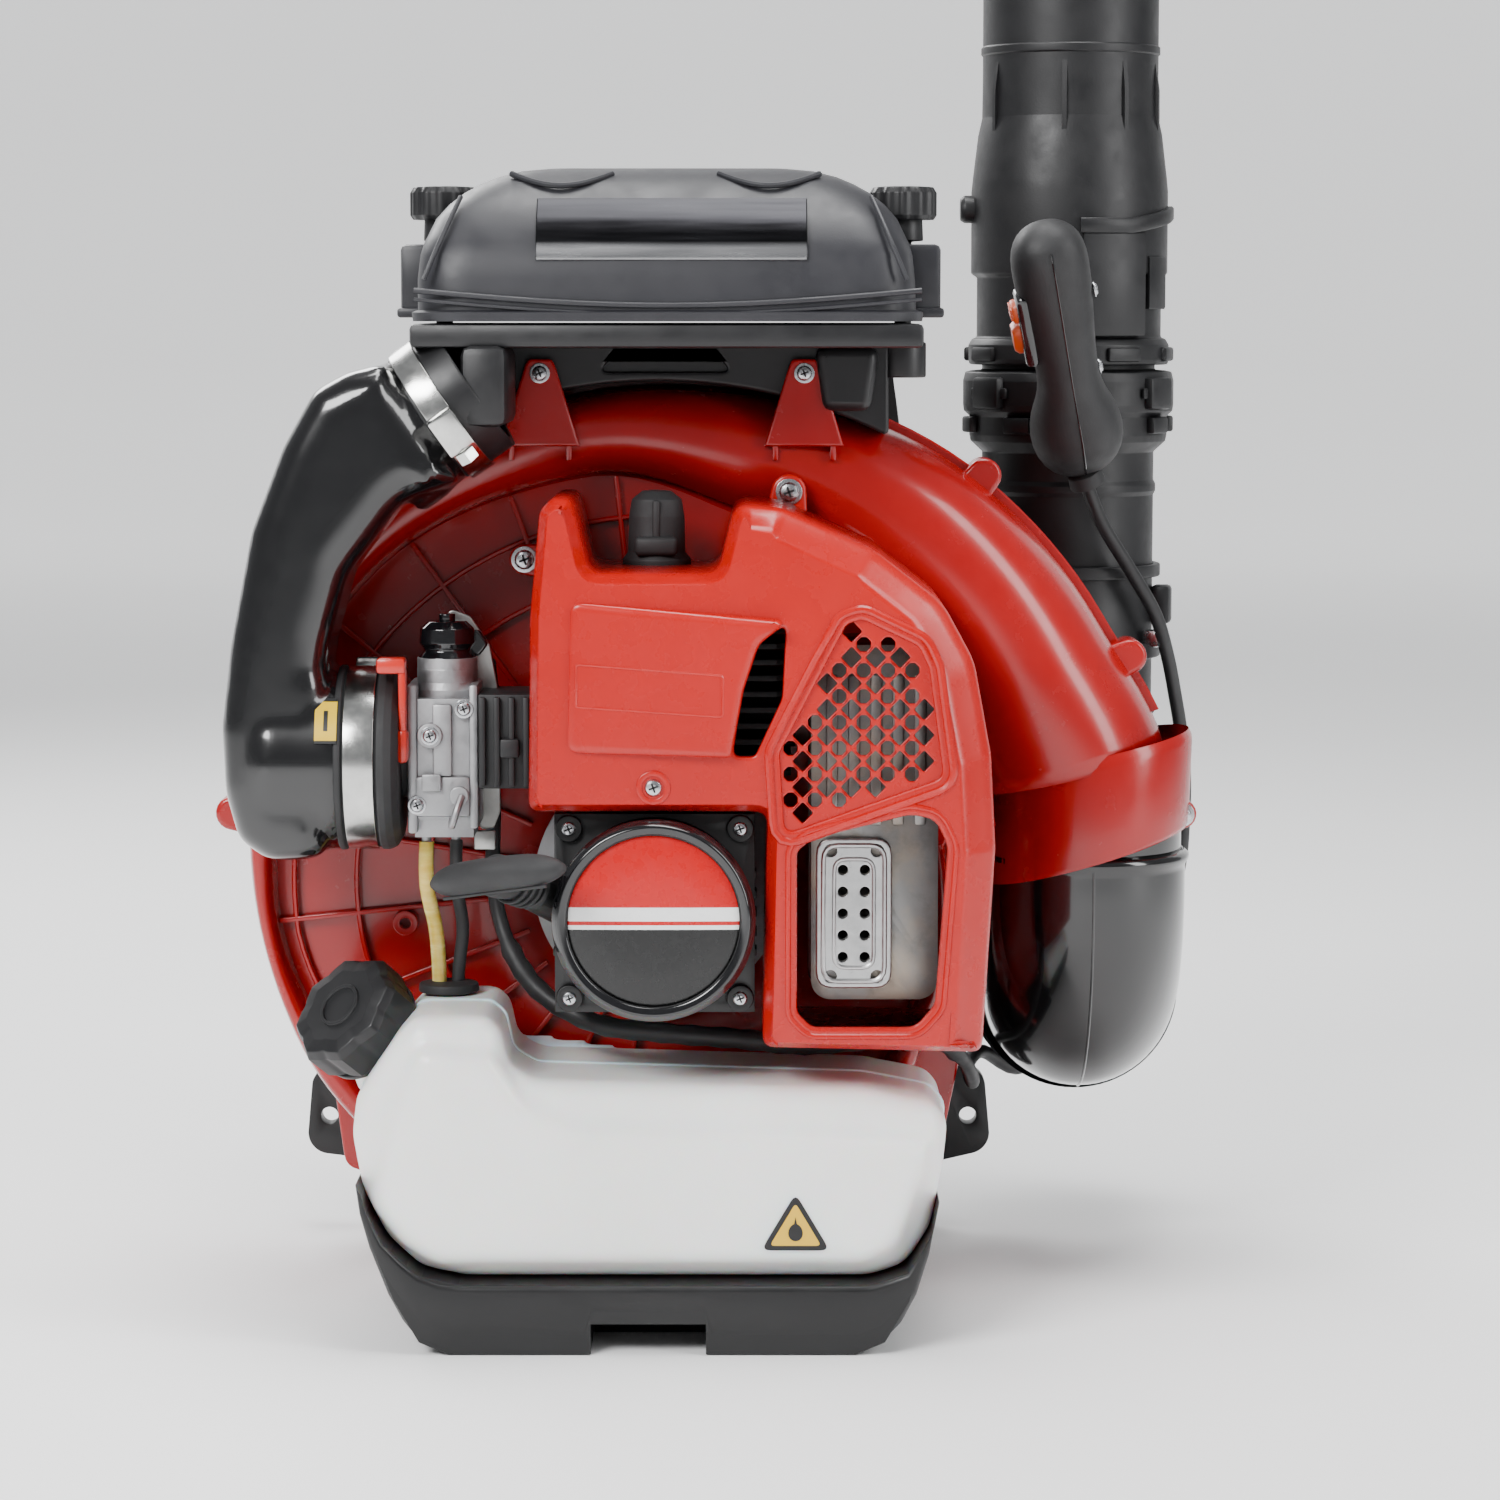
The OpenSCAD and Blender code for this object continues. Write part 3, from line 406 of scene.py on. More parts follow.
def sweep(name, route, radius, sides=12, ring=False):
    """A round rod along a route; radius is one size or one per point; ring closes it on itself."""
    spots = [Vector(p) for p in route]
    count = len(spots)
    loops = []
    across = None
    for i, here in enumerate(spots):
        ahead = spots[(i + 1) % count] if ring or i < count - 1 else here
        back = spots[i - 1] if ring or i else here
        along = (ahead - back).normalized()
        if across is None:
            across = along.orthogonal().normalized()
        across = (across - along * across.dot(along)).normalized()
        up = along.cross(across)
        size = radius[i] if isinstance(radius, (list, tuple)) else radius
        loops.append([here + size * (math.cos(2 * math.pi * k / sides) * across
                                     + math.sin(2 * math.pi * k / sides) * up) for k in range(sides)])
    return loft(name, loops, wrap=ring)


def flat_bead(name, outline, y, radius, sides=8):
    """A half-buried bead along a closed outline in x and z; y may be a function of the point."""
    return sweep(name, [(p[0], y(p) if callable(y) else y, p[1]) for p in outline], radius, sides,
                 ring=True)


def melted(piece, voxel, rounds=6):
    """Runs the parts of a piece together with soft blends, as a blow mould does."""
    grid = piece.modifiers.new("skin", "REMESH")
    grid.mode = "VOXEL"
    grid.voxel_size = voxel * 0.001
    grid.use_smooth_shade = True
    ease = piece.modifiers.new("ease", "SMOOTH")
    ease.factor = 0.5
    ease.iterations = rounds
    return piece


frame_black = moulded("frame_black", (0.005, 0.005, 0.0055), 0.38, 0.00003)
softened("back_frame", 1.4, frame_black, "black_plastic", "frame")

heel = [((-119, 66), (-121.4, 70)), ((-117, 58.5), (-119.6, 58)), ((-110.3, 45.6), (-116, 44)),
        ((-103, 38.5), (-109, 23.5)), ((-96, 32.6), (-103.5, 12)), ((-88, 29.6), (-97.5, 4.5)),
        ((-78, 28.6), (-86, 0)), ((-28, 28.6), (-29, 0)), ((-25.5, 28.6), (-25.5, 12.2)),
        ((20.5, 28.6), (20.5, 12.2)), ((23, 28.6), (24, 0)), ((82, 28.6), (83, 0)),
        ((88, 28.8), (94.5, 4)), ((96, 31.2), (101, 11)), ((103, 33.6), (107, 24)),
        ((109, 43), (112, 42)), ((113.2, 50), (114.6, 56)), ((114.6, 58), (116, 63))]
tray_loops = []
for inner, outer in heel:
    a, b = Vector(inner), Vector(outer)
    across = b - a
    deep = across.length
    round_out = min(13, deep * 0.6)
    round_in = min(2.5, deep * 0.3)
    section = [(0, -20), (0, -119 + round_in)]
    section += [(round_in * (1 - math.cos(t)), -119 + round_in * (1 - math.sin(t)))
                for t in (0.4, 0.8, 1.2, 1.57)]
    section += [(deep - round_out * (1 - math.sin(t)), -119 + round_out * (1 - math.cos(t)))
                for t in (0.0, 0.3, 0.6, 0.9, 1.2, 1.57)]
    section += [(deep, -60), (deep, -20), (deep / 2, -20)]
    unit = across.normalized()
    tray_loops.append([((a + unit * s).x, y, (a + unit * s).y) for s, y in section])
tray = loft("tray_front", tray_loops)
fit(tray, frame_black, "black_plastic", "frame", "back_frame", sharp=50)


# ---- Back pad
# A foam cushion about 22 mm thick in black mesh fabric, sewn round its edge and strapped to the frame's
# back plate. The foam fills it, and the cover is drawn down along two quilted seams.

def woven(name, colour, pitch, rough=0.85):
    """Cloth: threads crossing at a pitch in millimetres, darker between them, with loose fuzz."""
    paint = Paint(name, Sheen_Weight=0.35, Sheen_Roughness=0.5)
    run = 2 * math.pi / (pitch * 0.001)
    warp = paint.node("ShaderNodeMath", {"operation": "SINE"}, {0: paint.along("X") * run})
    weft = paint.node("ShaderNodeMath", {"operation": "SINE"}, {0: paint.along("Z") * run})
    threads = paint.ranged(warp * weft, -1, 1)
    fuzz = paint.noise(900, detail=3)
    worn = paint.noise(25, detail=4)
    shade = paint.mix(threads, tuple(c * 0.45 for c in colour), tuple(c * 1.25 for c in colour))
    paint.feed("Base Color", paint.mix(paint.ranged(worn, 0.35, 0.7, 0, 0.4), shade,
                                       tuple(c * 1.7 + 0.01 for c in colour)))
    paint.feed("Roughness", paint.ranged(fuzz, 0.2, 0.8, rough - 0.12, min(1, rough + 0.1)))
    paint.feed("Normal", paint.bump(threads, 0.0004, 0.8, paint.bump(fuzz, 0.0002, 0.5)))
    return paint.material


def refined(piece):
    """One round of subdivision."""
    finer = piece.modifiers.new("finer", "SUBSURF")
    finer.levels = finer.render_levels = 1


pad_cloth = woven("pad_cloth", (0.035, 0.035, 0.039), 2.4)
pad_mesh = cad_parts["back_pad"].data.copy()
pad = bpy.data.objects.new("back_cushion", pad_mesh)
bpy.context.scene.collection.objects.link(pad)
bpy.context.view_layer.objects.active = pad
pad.select_set(True)
grid = pad.modifiers.new("grid", "REMESH")
grid.mode = "VOXEL"
grid.voxel_size = 0.006
bpy.ops.object.modifier_apply(modifier=grid.name)
flat_y = 0.1342
for v in pad.data.vertices:
    x, z = v.co.x, v.co.z
    rim = min(0.094 - abs(x), 0.134 - abs(z - 0.249))
    height = min(1.0, max(0.0, rim / 0.014)) ** 0.5
    v.co.y = flat_y + (v.co.y - flat_y) * (0.35 + 0.65 * height)
held = pad.vertex_groups.new(name="held")
held.add([v.index for v in pad.data.vertices if v.co.y < 0.1352], 1.0, "REPLACE")
drawn = [v.index for v in pad.data.vertices
         if abs(v.co.z - 0.21) < 0.004 or abs(v.co.z - 0.29) < 0.004]
held.add(drawn, 0.9, "REPLACE")
cloth = pad.modifiers.new("cloth", "CLOTH")
cloth.settings.use_pressure = True
cloth.settings.uniform_pressure_force = 4.0
cloth.settings.vertex_group_mass = "held"
cloth.settings.pin_stiffness = 4.0
cloth.settings.effector_weights.gravity = 0
cloth.point_cache.frame_start = 1
cloth.point_cache.frame_end = 20
rest = [v.co.copy() for v in pad.data.vertices]
for number in range(1, 21):
    bpy.context.scene.frame_set(number)
bpy.ops.object.modifier_apply(modifier=cloth.name)
bpy.context.scene.frame_set(1)
for v, was in zip(pad.data.vertices, rest):
    step = v.co - was
    if step.length > 0.004:
        v.co = was + step * (0.004 / step.length)
    v.co.y = max(v.co.y, flat_y)
for v in pad.data.vertices:
    if v.co.y > 0.145:
        for seam in (0.21, 0.29):
            v.co.y -= 0.0035 * math.exp(-((v.co.z - seam) / 0.0045) ** 2)
        v.co.y -= 0.0012 * math.exp(-((abs(v.co.x) - 0.06) / 0.004) ** 2)
refined(pad)
fit(pad, pad_cloth, "pad_fabric", "frame", "back_pad", sharp=180)
piping = rounded([(-93, 117), (93, 117), (93, 381), (-93, 381)], 16, 8)
edge_tape = flat_bead("cushion_piping", piping, 137.5, 1.9)
fit(edge_tape, woven("tape_cloth", (0.02, 0.02, 0.022), 1.1), "webbing", "frame", "back_pad")


# ---- Shoulder straps
# Each strap is a foam-filled shoulder pad, sewn flat along both edges, that narrows into 25 mm polyester
# webbing and runs down to a plastic ladder buckle on the foot. The shape is as worn, over the shoulder.

strap_cloth = woven("strap_cloth", (0.028, 0.028, 0.031), 1.8)
strap_route = [(68, 148, 392), (70, 166, 402), (74, 190, 401), (78, 212, 386), (82, 226, 358),
               (86, 232, 322), (90, 230, 284), (94, 222, 246), (98, 210, 208), (102, 196, 172),
               (106, 182, 138), (110, 168, 106), (114, 154, 78), (118, 144, 58)]
strap_width = [18, 24, 28, 30, 30, 30, 29, 27, 24, 19, 13, 12.5, 12.5, 12.5]
strap_thick = [3, 5, 6.5, 7, 7, 7, 7, 6.5, 6, 4, 1.5, 1.5, 1.5, 1.5]
for side, node in ((-1, "strap_left"), (1, "strap_right")):
    spots = smoothed(strap_route, 5)
    loops = []
    for i, here in enumerate(spots):
        whole = min(i // 5, 12)
        part = (i - whole * 5) / 5
        half = strap_width[whole] + (strap_width[whole + 1] - strap_width[whole]) * part
        thick = strap_thick[whole] + (strap_thick[whole + 1] - strap_thick[whole]) * part
        along = (spots[min(i + 1, len(spots) - 1)] - spots[max(i - 1, 0)]).normalized()
        out = Vector((1, 0, 0)).cross(along).normalized()
        section = []
        for k in range(28):
            turn = 2 * math.pi * k / 28
            c, s = math.cos(turn), math.sin(turn)
            flat = math.copysign(abs(c) ** 0.75, c)
            puff = math.copysign(abs(s) ** 0.7, s)
            hem = 1.0 if thick < 2 else 1 - 0.55 * math.exp(-((abs(flat) - 0.86) / 0.05) ** 2)
            quilt = 1.0 if thick < 3 else 1 - 0.12 * math.exp(-((i % 15 - 7) / 0.8) ** 2)
            section.append(Vector((side * (here.x + half * flat), 0, 0))
                           + Vector((0, here.y, here.z)) + out * thick * puff * hem * quilt)
        loops.append(section)
    strap = loft(node + "_sewn", loops)
    fit(strap, strap_cloth, "webbing", "frame", node, sharp=60)

buckle_black = moulded("buckle_black", (0.015, 0.015, 0.016), 0.35)
softened("strap_buckles", 0.9, buckle_black, "black_plastic", "frame")
for side in (-1, 1):
    bar = merged(f"buckle_bars_{'left' if side < 0 else 'right'}",
                 block("a", (side * 118 - 17, 139, 62), (side * 118 + 17, 144.5, 66)),
                 block("b", (side * 118 - 17, 139, 44), (side * 118 + 17, 144.5, 48)),
                 block("c", (side * 118 - 17, 138.5, 44), (side * 118 - 13.5, 144.5, 66)),
                 block("d", (side * 118 + 13.5, 138.5, 44), (side * 118 + 17, 144.5, 66)))
    fit(bar, buckle_black, "black_plastic", "frame", "strap_buckles")


# ---- Vibration mounts
# Four black rubber bushes are bonded between the frame and the blower. Each has a waist, so that it can
# shear as the engine shakes.

rubber = moulded("rubber", (0.018, 0.018, 0.019), 0.62, 0.00005, 900, 0.1)
mounts = merged("rubber_mounts", *[
    turned("m", [(0, 90.2), (13, 90.2), (13, 95), (10.5, 100), (10.5, 112), (13, 117), (13, 121.8),
                 (0, 121.8)],
           aimed((x, 0, z), (0, 1, 0)), 40, 1.5, closed=False)
    for x, z in ((-85, 300), (85, 300), (-75, 100), (75, 100))])
fit(mounts, rubber, "rubber", "frame", "vibration_mounts")


# ---- Volute
# Two mouldings in glossy red ABS meet at a flange round the spiral. The spiral grows from a thin lip at
# the tongue to a round outlet that points down, and the front one carries a ribbed disc, the tie lugs
# and two tabs for the air cleaner.

crank_z = 178
outlet_x, outlet_y = 187.5, 45
volute_red = moulded("volute_red", (0.33, 0.0015, 0.002), 0.24, 0.00002, 1500, 0.15, coat=0.22, flow_size=9)


def curve(value, *stops):
    """The height of a smooth curve through pairs of place and height."""
    if value <= stops[0][0]:
        return stops[0][1]
    for (a, low), (b, high) in zip(stops, stops[1:]):
        if value <= b:
            t = (value - a) / (b - a)
            return low + (high - low) * t * t * (3 - 2 * t)
    return stops[-1][1]


def spiral_r(a):
    return curve(a, (0, 232), (14, 228), (30, 221), (50, 220.5), (90, 214), (202, 173), (290, 147),
                 (368, 125))


def crest_in(a):
    return curve(a, (0, 143), (20, 142), (50, 146), (75, 160), (100, 176), (130, 180), (180, 165),
                 (230, 151), (290, 131), (368, 112))


def section_at(a, side, count=14):
    """Half of the spiral's section at an angle, from the flange to its inner edge, in the radial plane."""
    big, small = spiral_r(a), crest_in(a)
    power = curve(a, (0, 2), (25, 2.1), (70, 2.6), (110, 3.0), (368, 3.0))
    rise = curve(a, (0, 44.5), (30, 50), (60, 53), (368, 53)) if side < 0 else 45
    inner = small if side < 0 else max(76, small - 30)
    middle, half = (big + inner) / 2, (big - inner) / 2
    if side > 0 and a > 20:
        half = min(half, 24)
        middle = big - half
    made = []
    for k in range(count + 1):
        t = math.pi * k / count if (side < 0 or a <= 20) else math.pi / 2 * k / count
        c, s = math.cos(t), math.sin(t)
        made.append((middle + half * math.copysign(abs(c) ** (2 / power), c),
                     45 + side * rise * s ** (2 / power)))
    if side > 0 and a > 20:
        made += [(middle + (78 - middle) * k / 4, 90) for k in range(1, 5)]
    return made


def spun(name, side, start, stop, step, count=14):
    """The spiral's skin from one angle to another on one side of the flange."""
    angles = [start + (stop - start) * k / step for k in range(step + 1)]
    loops = []
    for a in angles:
        turn = math.radians(a)
        loops.append([(r * math.cos(turn), y, crank_z + r * math.sin(turn)) for r,
                      y in section_at(a, side, count)])
    n = len(loops[0])
    points = [p for loop in loops for p in loop]
    faces = [(i * n + k, i * n + k + 1, (i + 1) * n + k + 1, (i + 1) * n + k)
             for i in range(len(loops) - 1) for k in range(n - 1)]
    return new_piece(name, points, faces)


front_skin = thickened(spun("volute_front_skin", -1, 14, 368, 150), 2.6)
fit(front_skin, volute_red, "red_plastic", "frame", "volute_front", sharp=60)
rear_skin = thickened(spun("volute_rear_skin", 1, 21, 368, 150), 2.6)
fit(rear_skin, volute_red, "red_plastic", "frame", "volute_rear", sharp=60)

spout = []
for z, tilt, grow in ((232, 12, 0), (229, 12.4, 1.4), (226, 12.8, 1.9), (200, 15, 2.0), (187.5, 16.4, 2.0),
                      (185.4, 16.5, 1.2), (185, 16.5, -0.6), (186, 16.5, -2.6), (200, 15, -2.8),
                      (226, 13, -2.8)):
    lean = Matrix.Rotation(math.radians(-tilt), 4, "Y")
    centre = Vector((outlet_x + (z - 185) * 0.02, outlet_y, z))
    spout.append([centre + lean @ Vector(((44.5 + grow) * math.cos(2 * math.pi * k / 72),
                                          (44.5 + grow) * math.sin(2 * math.pi * k / 72), 0))
                  for k in range(72)])
collar = loft("volute_spout", spout, cap=False)
fit(collar, volute_red, "red_plastic", "frame", "volute_front", "volute_rear", sharp=50)

for side, node, low, high in ((-1, "volute_front", 42.4, 44.8), (1, "volute_rear", 45.2, 47.8)):
    angles = [18 + 350 * k / 140 for k in range(141)]
    loops = []
    for a in angles:
        turn = math.radians(a)
        big = spiral_r(a)
        loops.append([((big + out) * math.cos(turn), y, crank_z + (big + out) * math.sin(turn))
                      for out, y in ((-2, low), (2.4, low), (3.2, (low + high) / 2), (2.4, high),
                                     (-2, high))])
    flange = loft(node + "_flange", loops)
    fit(flange, volute_red, "red_plastic", "frame", node)

disc_points = []
spokes = 120
for k in range(spokes):
    turn = 2 * math.pi * k / spokes
    a = math.degrees(turn) if math.degrees(turn) > 8 else math.degrees(turn) + 360
    edge = crest_in(a) + 5
    for r, y in ((44, 8.2), (80, 8.2), (edge - 12, 8.6), (edge - 4, 10), (edge, 14)):
        disc_points.append((r * math.cos(turn), y, crank_z + r * math.sin(turn)))
disc_faces = [(k * 5 + i, (k + 1) % spokes * 5 + i, (k + 1) % spokes * 5 + i + 1, k * 5 + i + 1)
              for k in range(spokes) for i in range(4)]
disc = thickened(new_piece("volute_disc", disc_points, disc_faces), 2.4)
fit(disc, volute_red, "red_plastic", "frame", "volute_front")
ribs = []
for a in range(96, 262, 15):
    turn = math.radians(a)
    where = Matrix.Translation((0, 0, crank_z)) @ Matrix.Rotation(-turn, 4, "Y")
    ribs.append(block("rib", (60, 3.6, -1.1), (crest_in(a) + 1, 9, 1.1), 0.7, where))
for r in (100, 131, 158):
    arc = [((r if r < 158 else min(r, crest_in(a) - 6)) * math.cos(math.radians(a)), 7,
            crank_z + (r if r < 158 else min(r, crest_in(a) - 6)) * math.sin(math.radians(a)))
           for a in range(92, 268, 3)]
    loops = []
    for i, p in enumerate(arc):
        out = (Vector(p) - Vector((0, 7, crank_z))).normalized()
        loops.append([Vector(p) + out * s + Vector((0, y, 0))
                      for s, y in ((-1.1, 2), (-1.1, -2.6), (-0.5, -3.3), (0.5, -3.3), (1.1, -2.6),
                                   (1.1, 2))])
    ribs.append(loft("ring", loops))
for x, z in ((-110, 160), (-96, 226), (-120, 128)):
    ribs.append(turned("boss", [(2.4, 2), (5.4, 2), (5.8, 9), (2.4, 9)], aimed((x, 0, z), (0, 1, 0)),
                       24, 0.4))
rib_work = merged("volute_ribs", *ribs)
fit(rib_work, volute_red, "red_plastic", "frame", "volute_front")


def tab(at, out, wide, long, drop):
    """The outline of a round-ended lug that stands out in one direction, in x and z."""
    along = Vector(out).normalized()
    over = Vector((-along.y, along.x))
    start = Vector(at) - along * long
    end = [Vector(at) + along * wide / 2 * math.sin(t) + over * wide / 2 * math.cos(t)
           for t in [math.pi * k / 10 for k in range(11)]]
    return [start - over * drop, *end[::-1], start + over * drop]


lugs = []
for at in ((-188, 204), (141, 352), (205, 273)):
    out = (at[0], at[1] - crank_z)
    lugs.append(plate("lug", tab(at, out, 15, 14, 9), 33, 56, 2, back_edge=2))
lugs.append(plate("lug", tab((229, 203), (1, 0.1), 13, 12, 7), 38, 54, 1.6, back_edge=1.6))
for x, z in ((-50, 397), (62, 397)):
    outline = [(x - 17, 366), (x + 17, 366), (x + 6.5, z + 3), (x + 5, z + 6), (x - 5, z + 6),
               (x - 6.5, z + 3)]
    lugs.append(plate("tab", rounded(outline, [0, 0, 6, 3, 3, 6]), -11, -6.2, 1.2, back_edge=0.8))
    lugs.append(block("gusset", (x - 13.5, -10, 360), (x - 11, 8, 378), 0.6))
    lugs.append(block("gusset", (x + 11, -10, 360), (x + 13.5, 8, 378), 0.6))
lug_work = merged("volute_lugs", *lugs)
fit(lug_work, volute_red, "red_plastic", "frame", "volute_front", "volute_rear")

skirt = plate("volute_skirt", rounded([(-150, 112), (-141, 44), (-95, 34), (80, 34), (122, 44), (136, 112)],
                                      8),
              44.6, 50, 1.2, back_edge=1.2)
fit(skirt, volute_red, "red_plastic", "frame", "volute_rear")
inlet = turned("volute_inlet", [(72, 77), (75.5, 77), (76, 90.6), (72, 91)],
               aimed((0, 0, crank_z), (0, 1, 0)), 96, 1)
fit(inlet, volute_red, "red_plastic", "frame", "volute_rear")


# ---- Screws
# Zinc-plated pan-head screws with a cross recess hold the cleaner's tabs, the cover and the lugs. Each has
# its own washer.

def metal(name, colour, rough, stretch=(1, 1, 1), grime=0.3, cast=0.0, shine=1.0):
    """Bare or plated metal: drawn streaks along one axis, grime in patches, an optional cast skin."""
    paint = Paint(name, Metallic=shine)
    streak = paint.noise(240, stretch, detail=6, rough=0.65)
    dirt = paint.noise(38, detail=5, rough=0.6)
    shade = paint.mix(paint.ranged(streak, 0.3, 0.7), tuple(c * 0.82 for c in colour), colour)
    paint.feed("Base Color", paint.mix(paint.ranged(dirt, 0.48, 0.75, 0, grime), shade,
                                       tuple(c * 0.35 for c in colour)))
    paint.feed("Roughness", paint.ranged(streak, 0.2, 0.8, rough * 0.75, min(1, rough * 1.35)))
    lumps = paint.noise(620, detail=3)
    paint.feed("Normal", paint.bump(lumps, 0.00012 * cast + 0.000005, 0.7,
                                    paint.bump(streak, 0.00003, 0.3)))
    return paint.material


zinc = metal("zinc", (0.62, 0.63, 0.65), 0.25)
recess_dark = moulded("recess_dark", (0.006, 0.006, 0.007), 0.7)


def screws(name, spots, radius, body, *nodes, direction=(0, -1, 0)):
    """Pan-head cross screws at spots that name the underside of each head."""
    heads, cuts = [], []
    for spot in spots:
        where = aimed(spot, direction)
        high = radius * 0.62
        heads.append(turned("head", [(radius, 0), (radius, high * 0.45), (radius * 0.8, high * 0.85),
                                     (radius * 0.4, high), (0, high)], where, 24, 0.3, closed=False))
        heads.append(turned("washer", [(radius * 0.5, -0.3), (radius * 1.35, -0.3), (radius * 1.35, 0.5),
                                       (radius * 0.5, 0.5)], where, 24, 0.2))
        for turn in (0, math.pi / 2):
            tilt = where @ Matrix.Rotation(turn + 0.35, 4, "Z")
            cuts.append(block("cut", (-radius * 0.55, -radius * 0.11, high - 0.5),
                              (radius * 0.55, radius * 0.11, high + 0.06),
                              0.05, tilt))
    fit(merged(name, *heads), zinc, "steel", body, *nodes)
    fit(merged(name + "_recess", *cuts), recess_dark, "black_plastic", body, *nodes)


screws("cleaner_screws", [(-50, -11.2, 397), (62, -11.2, 397)], 3.2, "frame", "body_screws")
screws("lug_screws", [(229, 37.8, 203)], 4.0, "frame", "volute_front")
screws("disc_screws", [(-57, -9.6, 318), (55.5, -15.2, 347)], 4.2, "frame", "engine_cover")


# ---- Intake grille and fan
# A black moulded grille keeps leaves out of the air inlet on the back, and the moulded fan turns behind
# it with the steel crankshaft, the starter cup and the cast flywheel.

grille_black = moulded("grille_black", (0.014, 0.014, 0.015), 0.4)
softened("intake_grille", 0.5, grille_black, "black_plastic", "frame")
fan_grey = moulded("fan_grey", (0.03, 0.03, 0.032), 0.45)
softened("fan", 0.4, fan_grey, "black_plastic", "rotor")
steel = metal("bright_steel", (0.55, 0.55, 0.57), 0.24)
alloy = metal("cast_alloy", (0.42, 0.42, 0.43), 0.5, cast=1.0)
dark_alloy = metal("painted_alloy", (0.035, 0.035, 0.037), 0.55, cast=1.2, shine=0.35)
for node, slot, metal_used in (("crankshaft", "steel", steel), ("starter_cup", "steel", steel),
                               ("flywheel", "alloy", alloy)):
    softened(node, 0.5, metal_used, slot, "rotor")


# ---- Engine
# A cast alloy crankcase with a finned, black-painted cylinder above it; inside are the piston, the rod
# and two ball bearings, and the coil, plug and rubber plug cap finish the ignition.

softened("crankcase", 1.2, alloy, "alloy", "frame")
softened("cylinder", 0.5, dark_alloy, "alloy_black", "frame")
softened("piston", 0.4, alloy, "alloy", "frame")
softened("connecting_rod", 0.4, steel, "steel", "frame")
softened("crank_bearings", 0.4, steel, "steel", "frame")
softened("ignition_coil", 1.0, moulded("coil_black", (0.015, 0.015, 0.016), 0.5), "black_plastic", "frame")
softened("recoil_spring", 0.2, steel, "steel", "frame")
ceramic = moulded("white_ceramic", (0.82, 0.81, 0.78), 0.12, 0.00001, 900, 0.1, coat=0.5)
softened("spark_plug", 0.4, ceramic, "ceramic", "frame")
boot_top = merged(
    "plug_cap",
    turned("cap", [(5.4, 314), (14, 314), (14.4, 320), (12, 323), (11.6, 338), (10.4, 345), (6, 348.5),
                   (0, 349),
                   ], Matrix.Translation((0, -38, 0)), 48, 1.4, closed=False),
    turned("spout", [(0, -2), (6.4, -2), (6.2, 14), (5.2, 15), (5.2, 24), (0, 24)],
           aimed((0, -40, 338), (0, 1, 0.15)), 24, 0.8, closed=False),
    turned("bead", [(5, 0), (7.4, 0), (7.4, 4), (5, 4)], aimed((0, -27, 340), (0, 1, 0.15)), 24, 1),
    block("grip_rib", (-9, -53, 322), (9, -47, 330), 2),
    block("grip_rib", (-1.6, -50.6, 322), (1.6, -44, 345), 1))
fit(boot_top, rubber, "rubber", "frame", "plug_boot", sharp=50)


# ---- Muffler
# A pressed steel box, blued and stained by heat, with a seam round it. A plated guard plate is bolted over
# its two rows of outlets.

def heated(name, colour):
    """Stamped steel that has been hot: straw and blue patches over a dull silver skin."""
    paint = Paint(name, Metallic=0.9)
    heat = paint.noise(22, detail=5, rough=0.6)
    soot = paint.noise(75, detail=6, rough=0.7)
    shade = paint.mix(paint.ranged(heat, 0.45, 0.65, 0, 0.55), colour, (0.42, 0.31, 0.2))
    shade = paint.mix(paint.ranged(heat, 0.6, 0.8, 0, 0.4), shade, (0.16, 0.18, 0.27))
    paint.feed("Base Color", paint.mix(paint.ranged(soot, 0.5, 0.8, 0, 0.45), shade, (0.06, 0.055, 0.05)))
    paint.feed("Roughness", paint.ranged(soot, 0.2, 0.8, 0.3, 0.6))
    paint.feed("Normal", paint.bump(soot, 0.0001, 0.6))
    return paint.material


heated_steel = heated("heated_steel", (0.24, 0.235, 0.23))
softened("muffler", 2.2, heated_steel, "steel", "frame")
seam = flat_bead("muffler_seam", rounded([(64.5, 142.5), (115.5, 142.5), (115.5, 287.5), (64.5, 287.5)],
                                         8), -58, 1.5)
dents = [block("press", (70 + 9 * i, -91.4, 214), (75 + 9 * i, -88, 276), 1.3) for i in range(5)]
fit(merged("muffler_pressings", seam, *dents), heated_steel, "steel", "frame", "muffler")



def spaced(x, z, radius, count, start=0.0, tall=1.0):
    """Points evenly spaced round a circle in x and z, which tall stretches upwards."""
    return [Vector((x + radius * math.cos(2 * math.pi * k / count + start),
                    z + radius * tall * math.sin(2 * math.pi * k / count + start))) for k in range(count)]


bolt_holes = [spaced(x, z, 2.6, 14) for x in (72, 91) for z in (152, 204)]
gas_holes = [spaced(x, 160 + 9 * i, 2.1, 14) for x in (77, 86) for i in range(5)]
guard_outline = rounded([(66, 147), (97, 147), (97, 209), (66, 209)], 7)
guard = plate("outlet_plate", guard_outline, -93, -90.2, 0.8, [*bolt_holes, *gas_holes], 0.35)
rim = flat_bead("rim", rounded([(69, 150), (94, 150), (94, 206), (69, 206)], 6), -93, 1.1)
inner_rim = flat_bead("rim", rounded([(73.4, 155.6), (89.6, 155.6), (89.6, 200.4), (73.4, 200.4)], 5),
                      -93, 0.9)
fit(merged("outlet_guard", guard, rim, inner_rim), metal("plated_steel", (0.6, 0.6, 0.6), 0.32, grime=0.5),
    "steel", "frame", "muffler_plate")


# ---- Engine cover
# One glossy orange-red moulding over the engine: a block on the left with a notch for the plug cap, a
# scoop with a blank name panel, and a guard on the right with a lattice window and an open window.

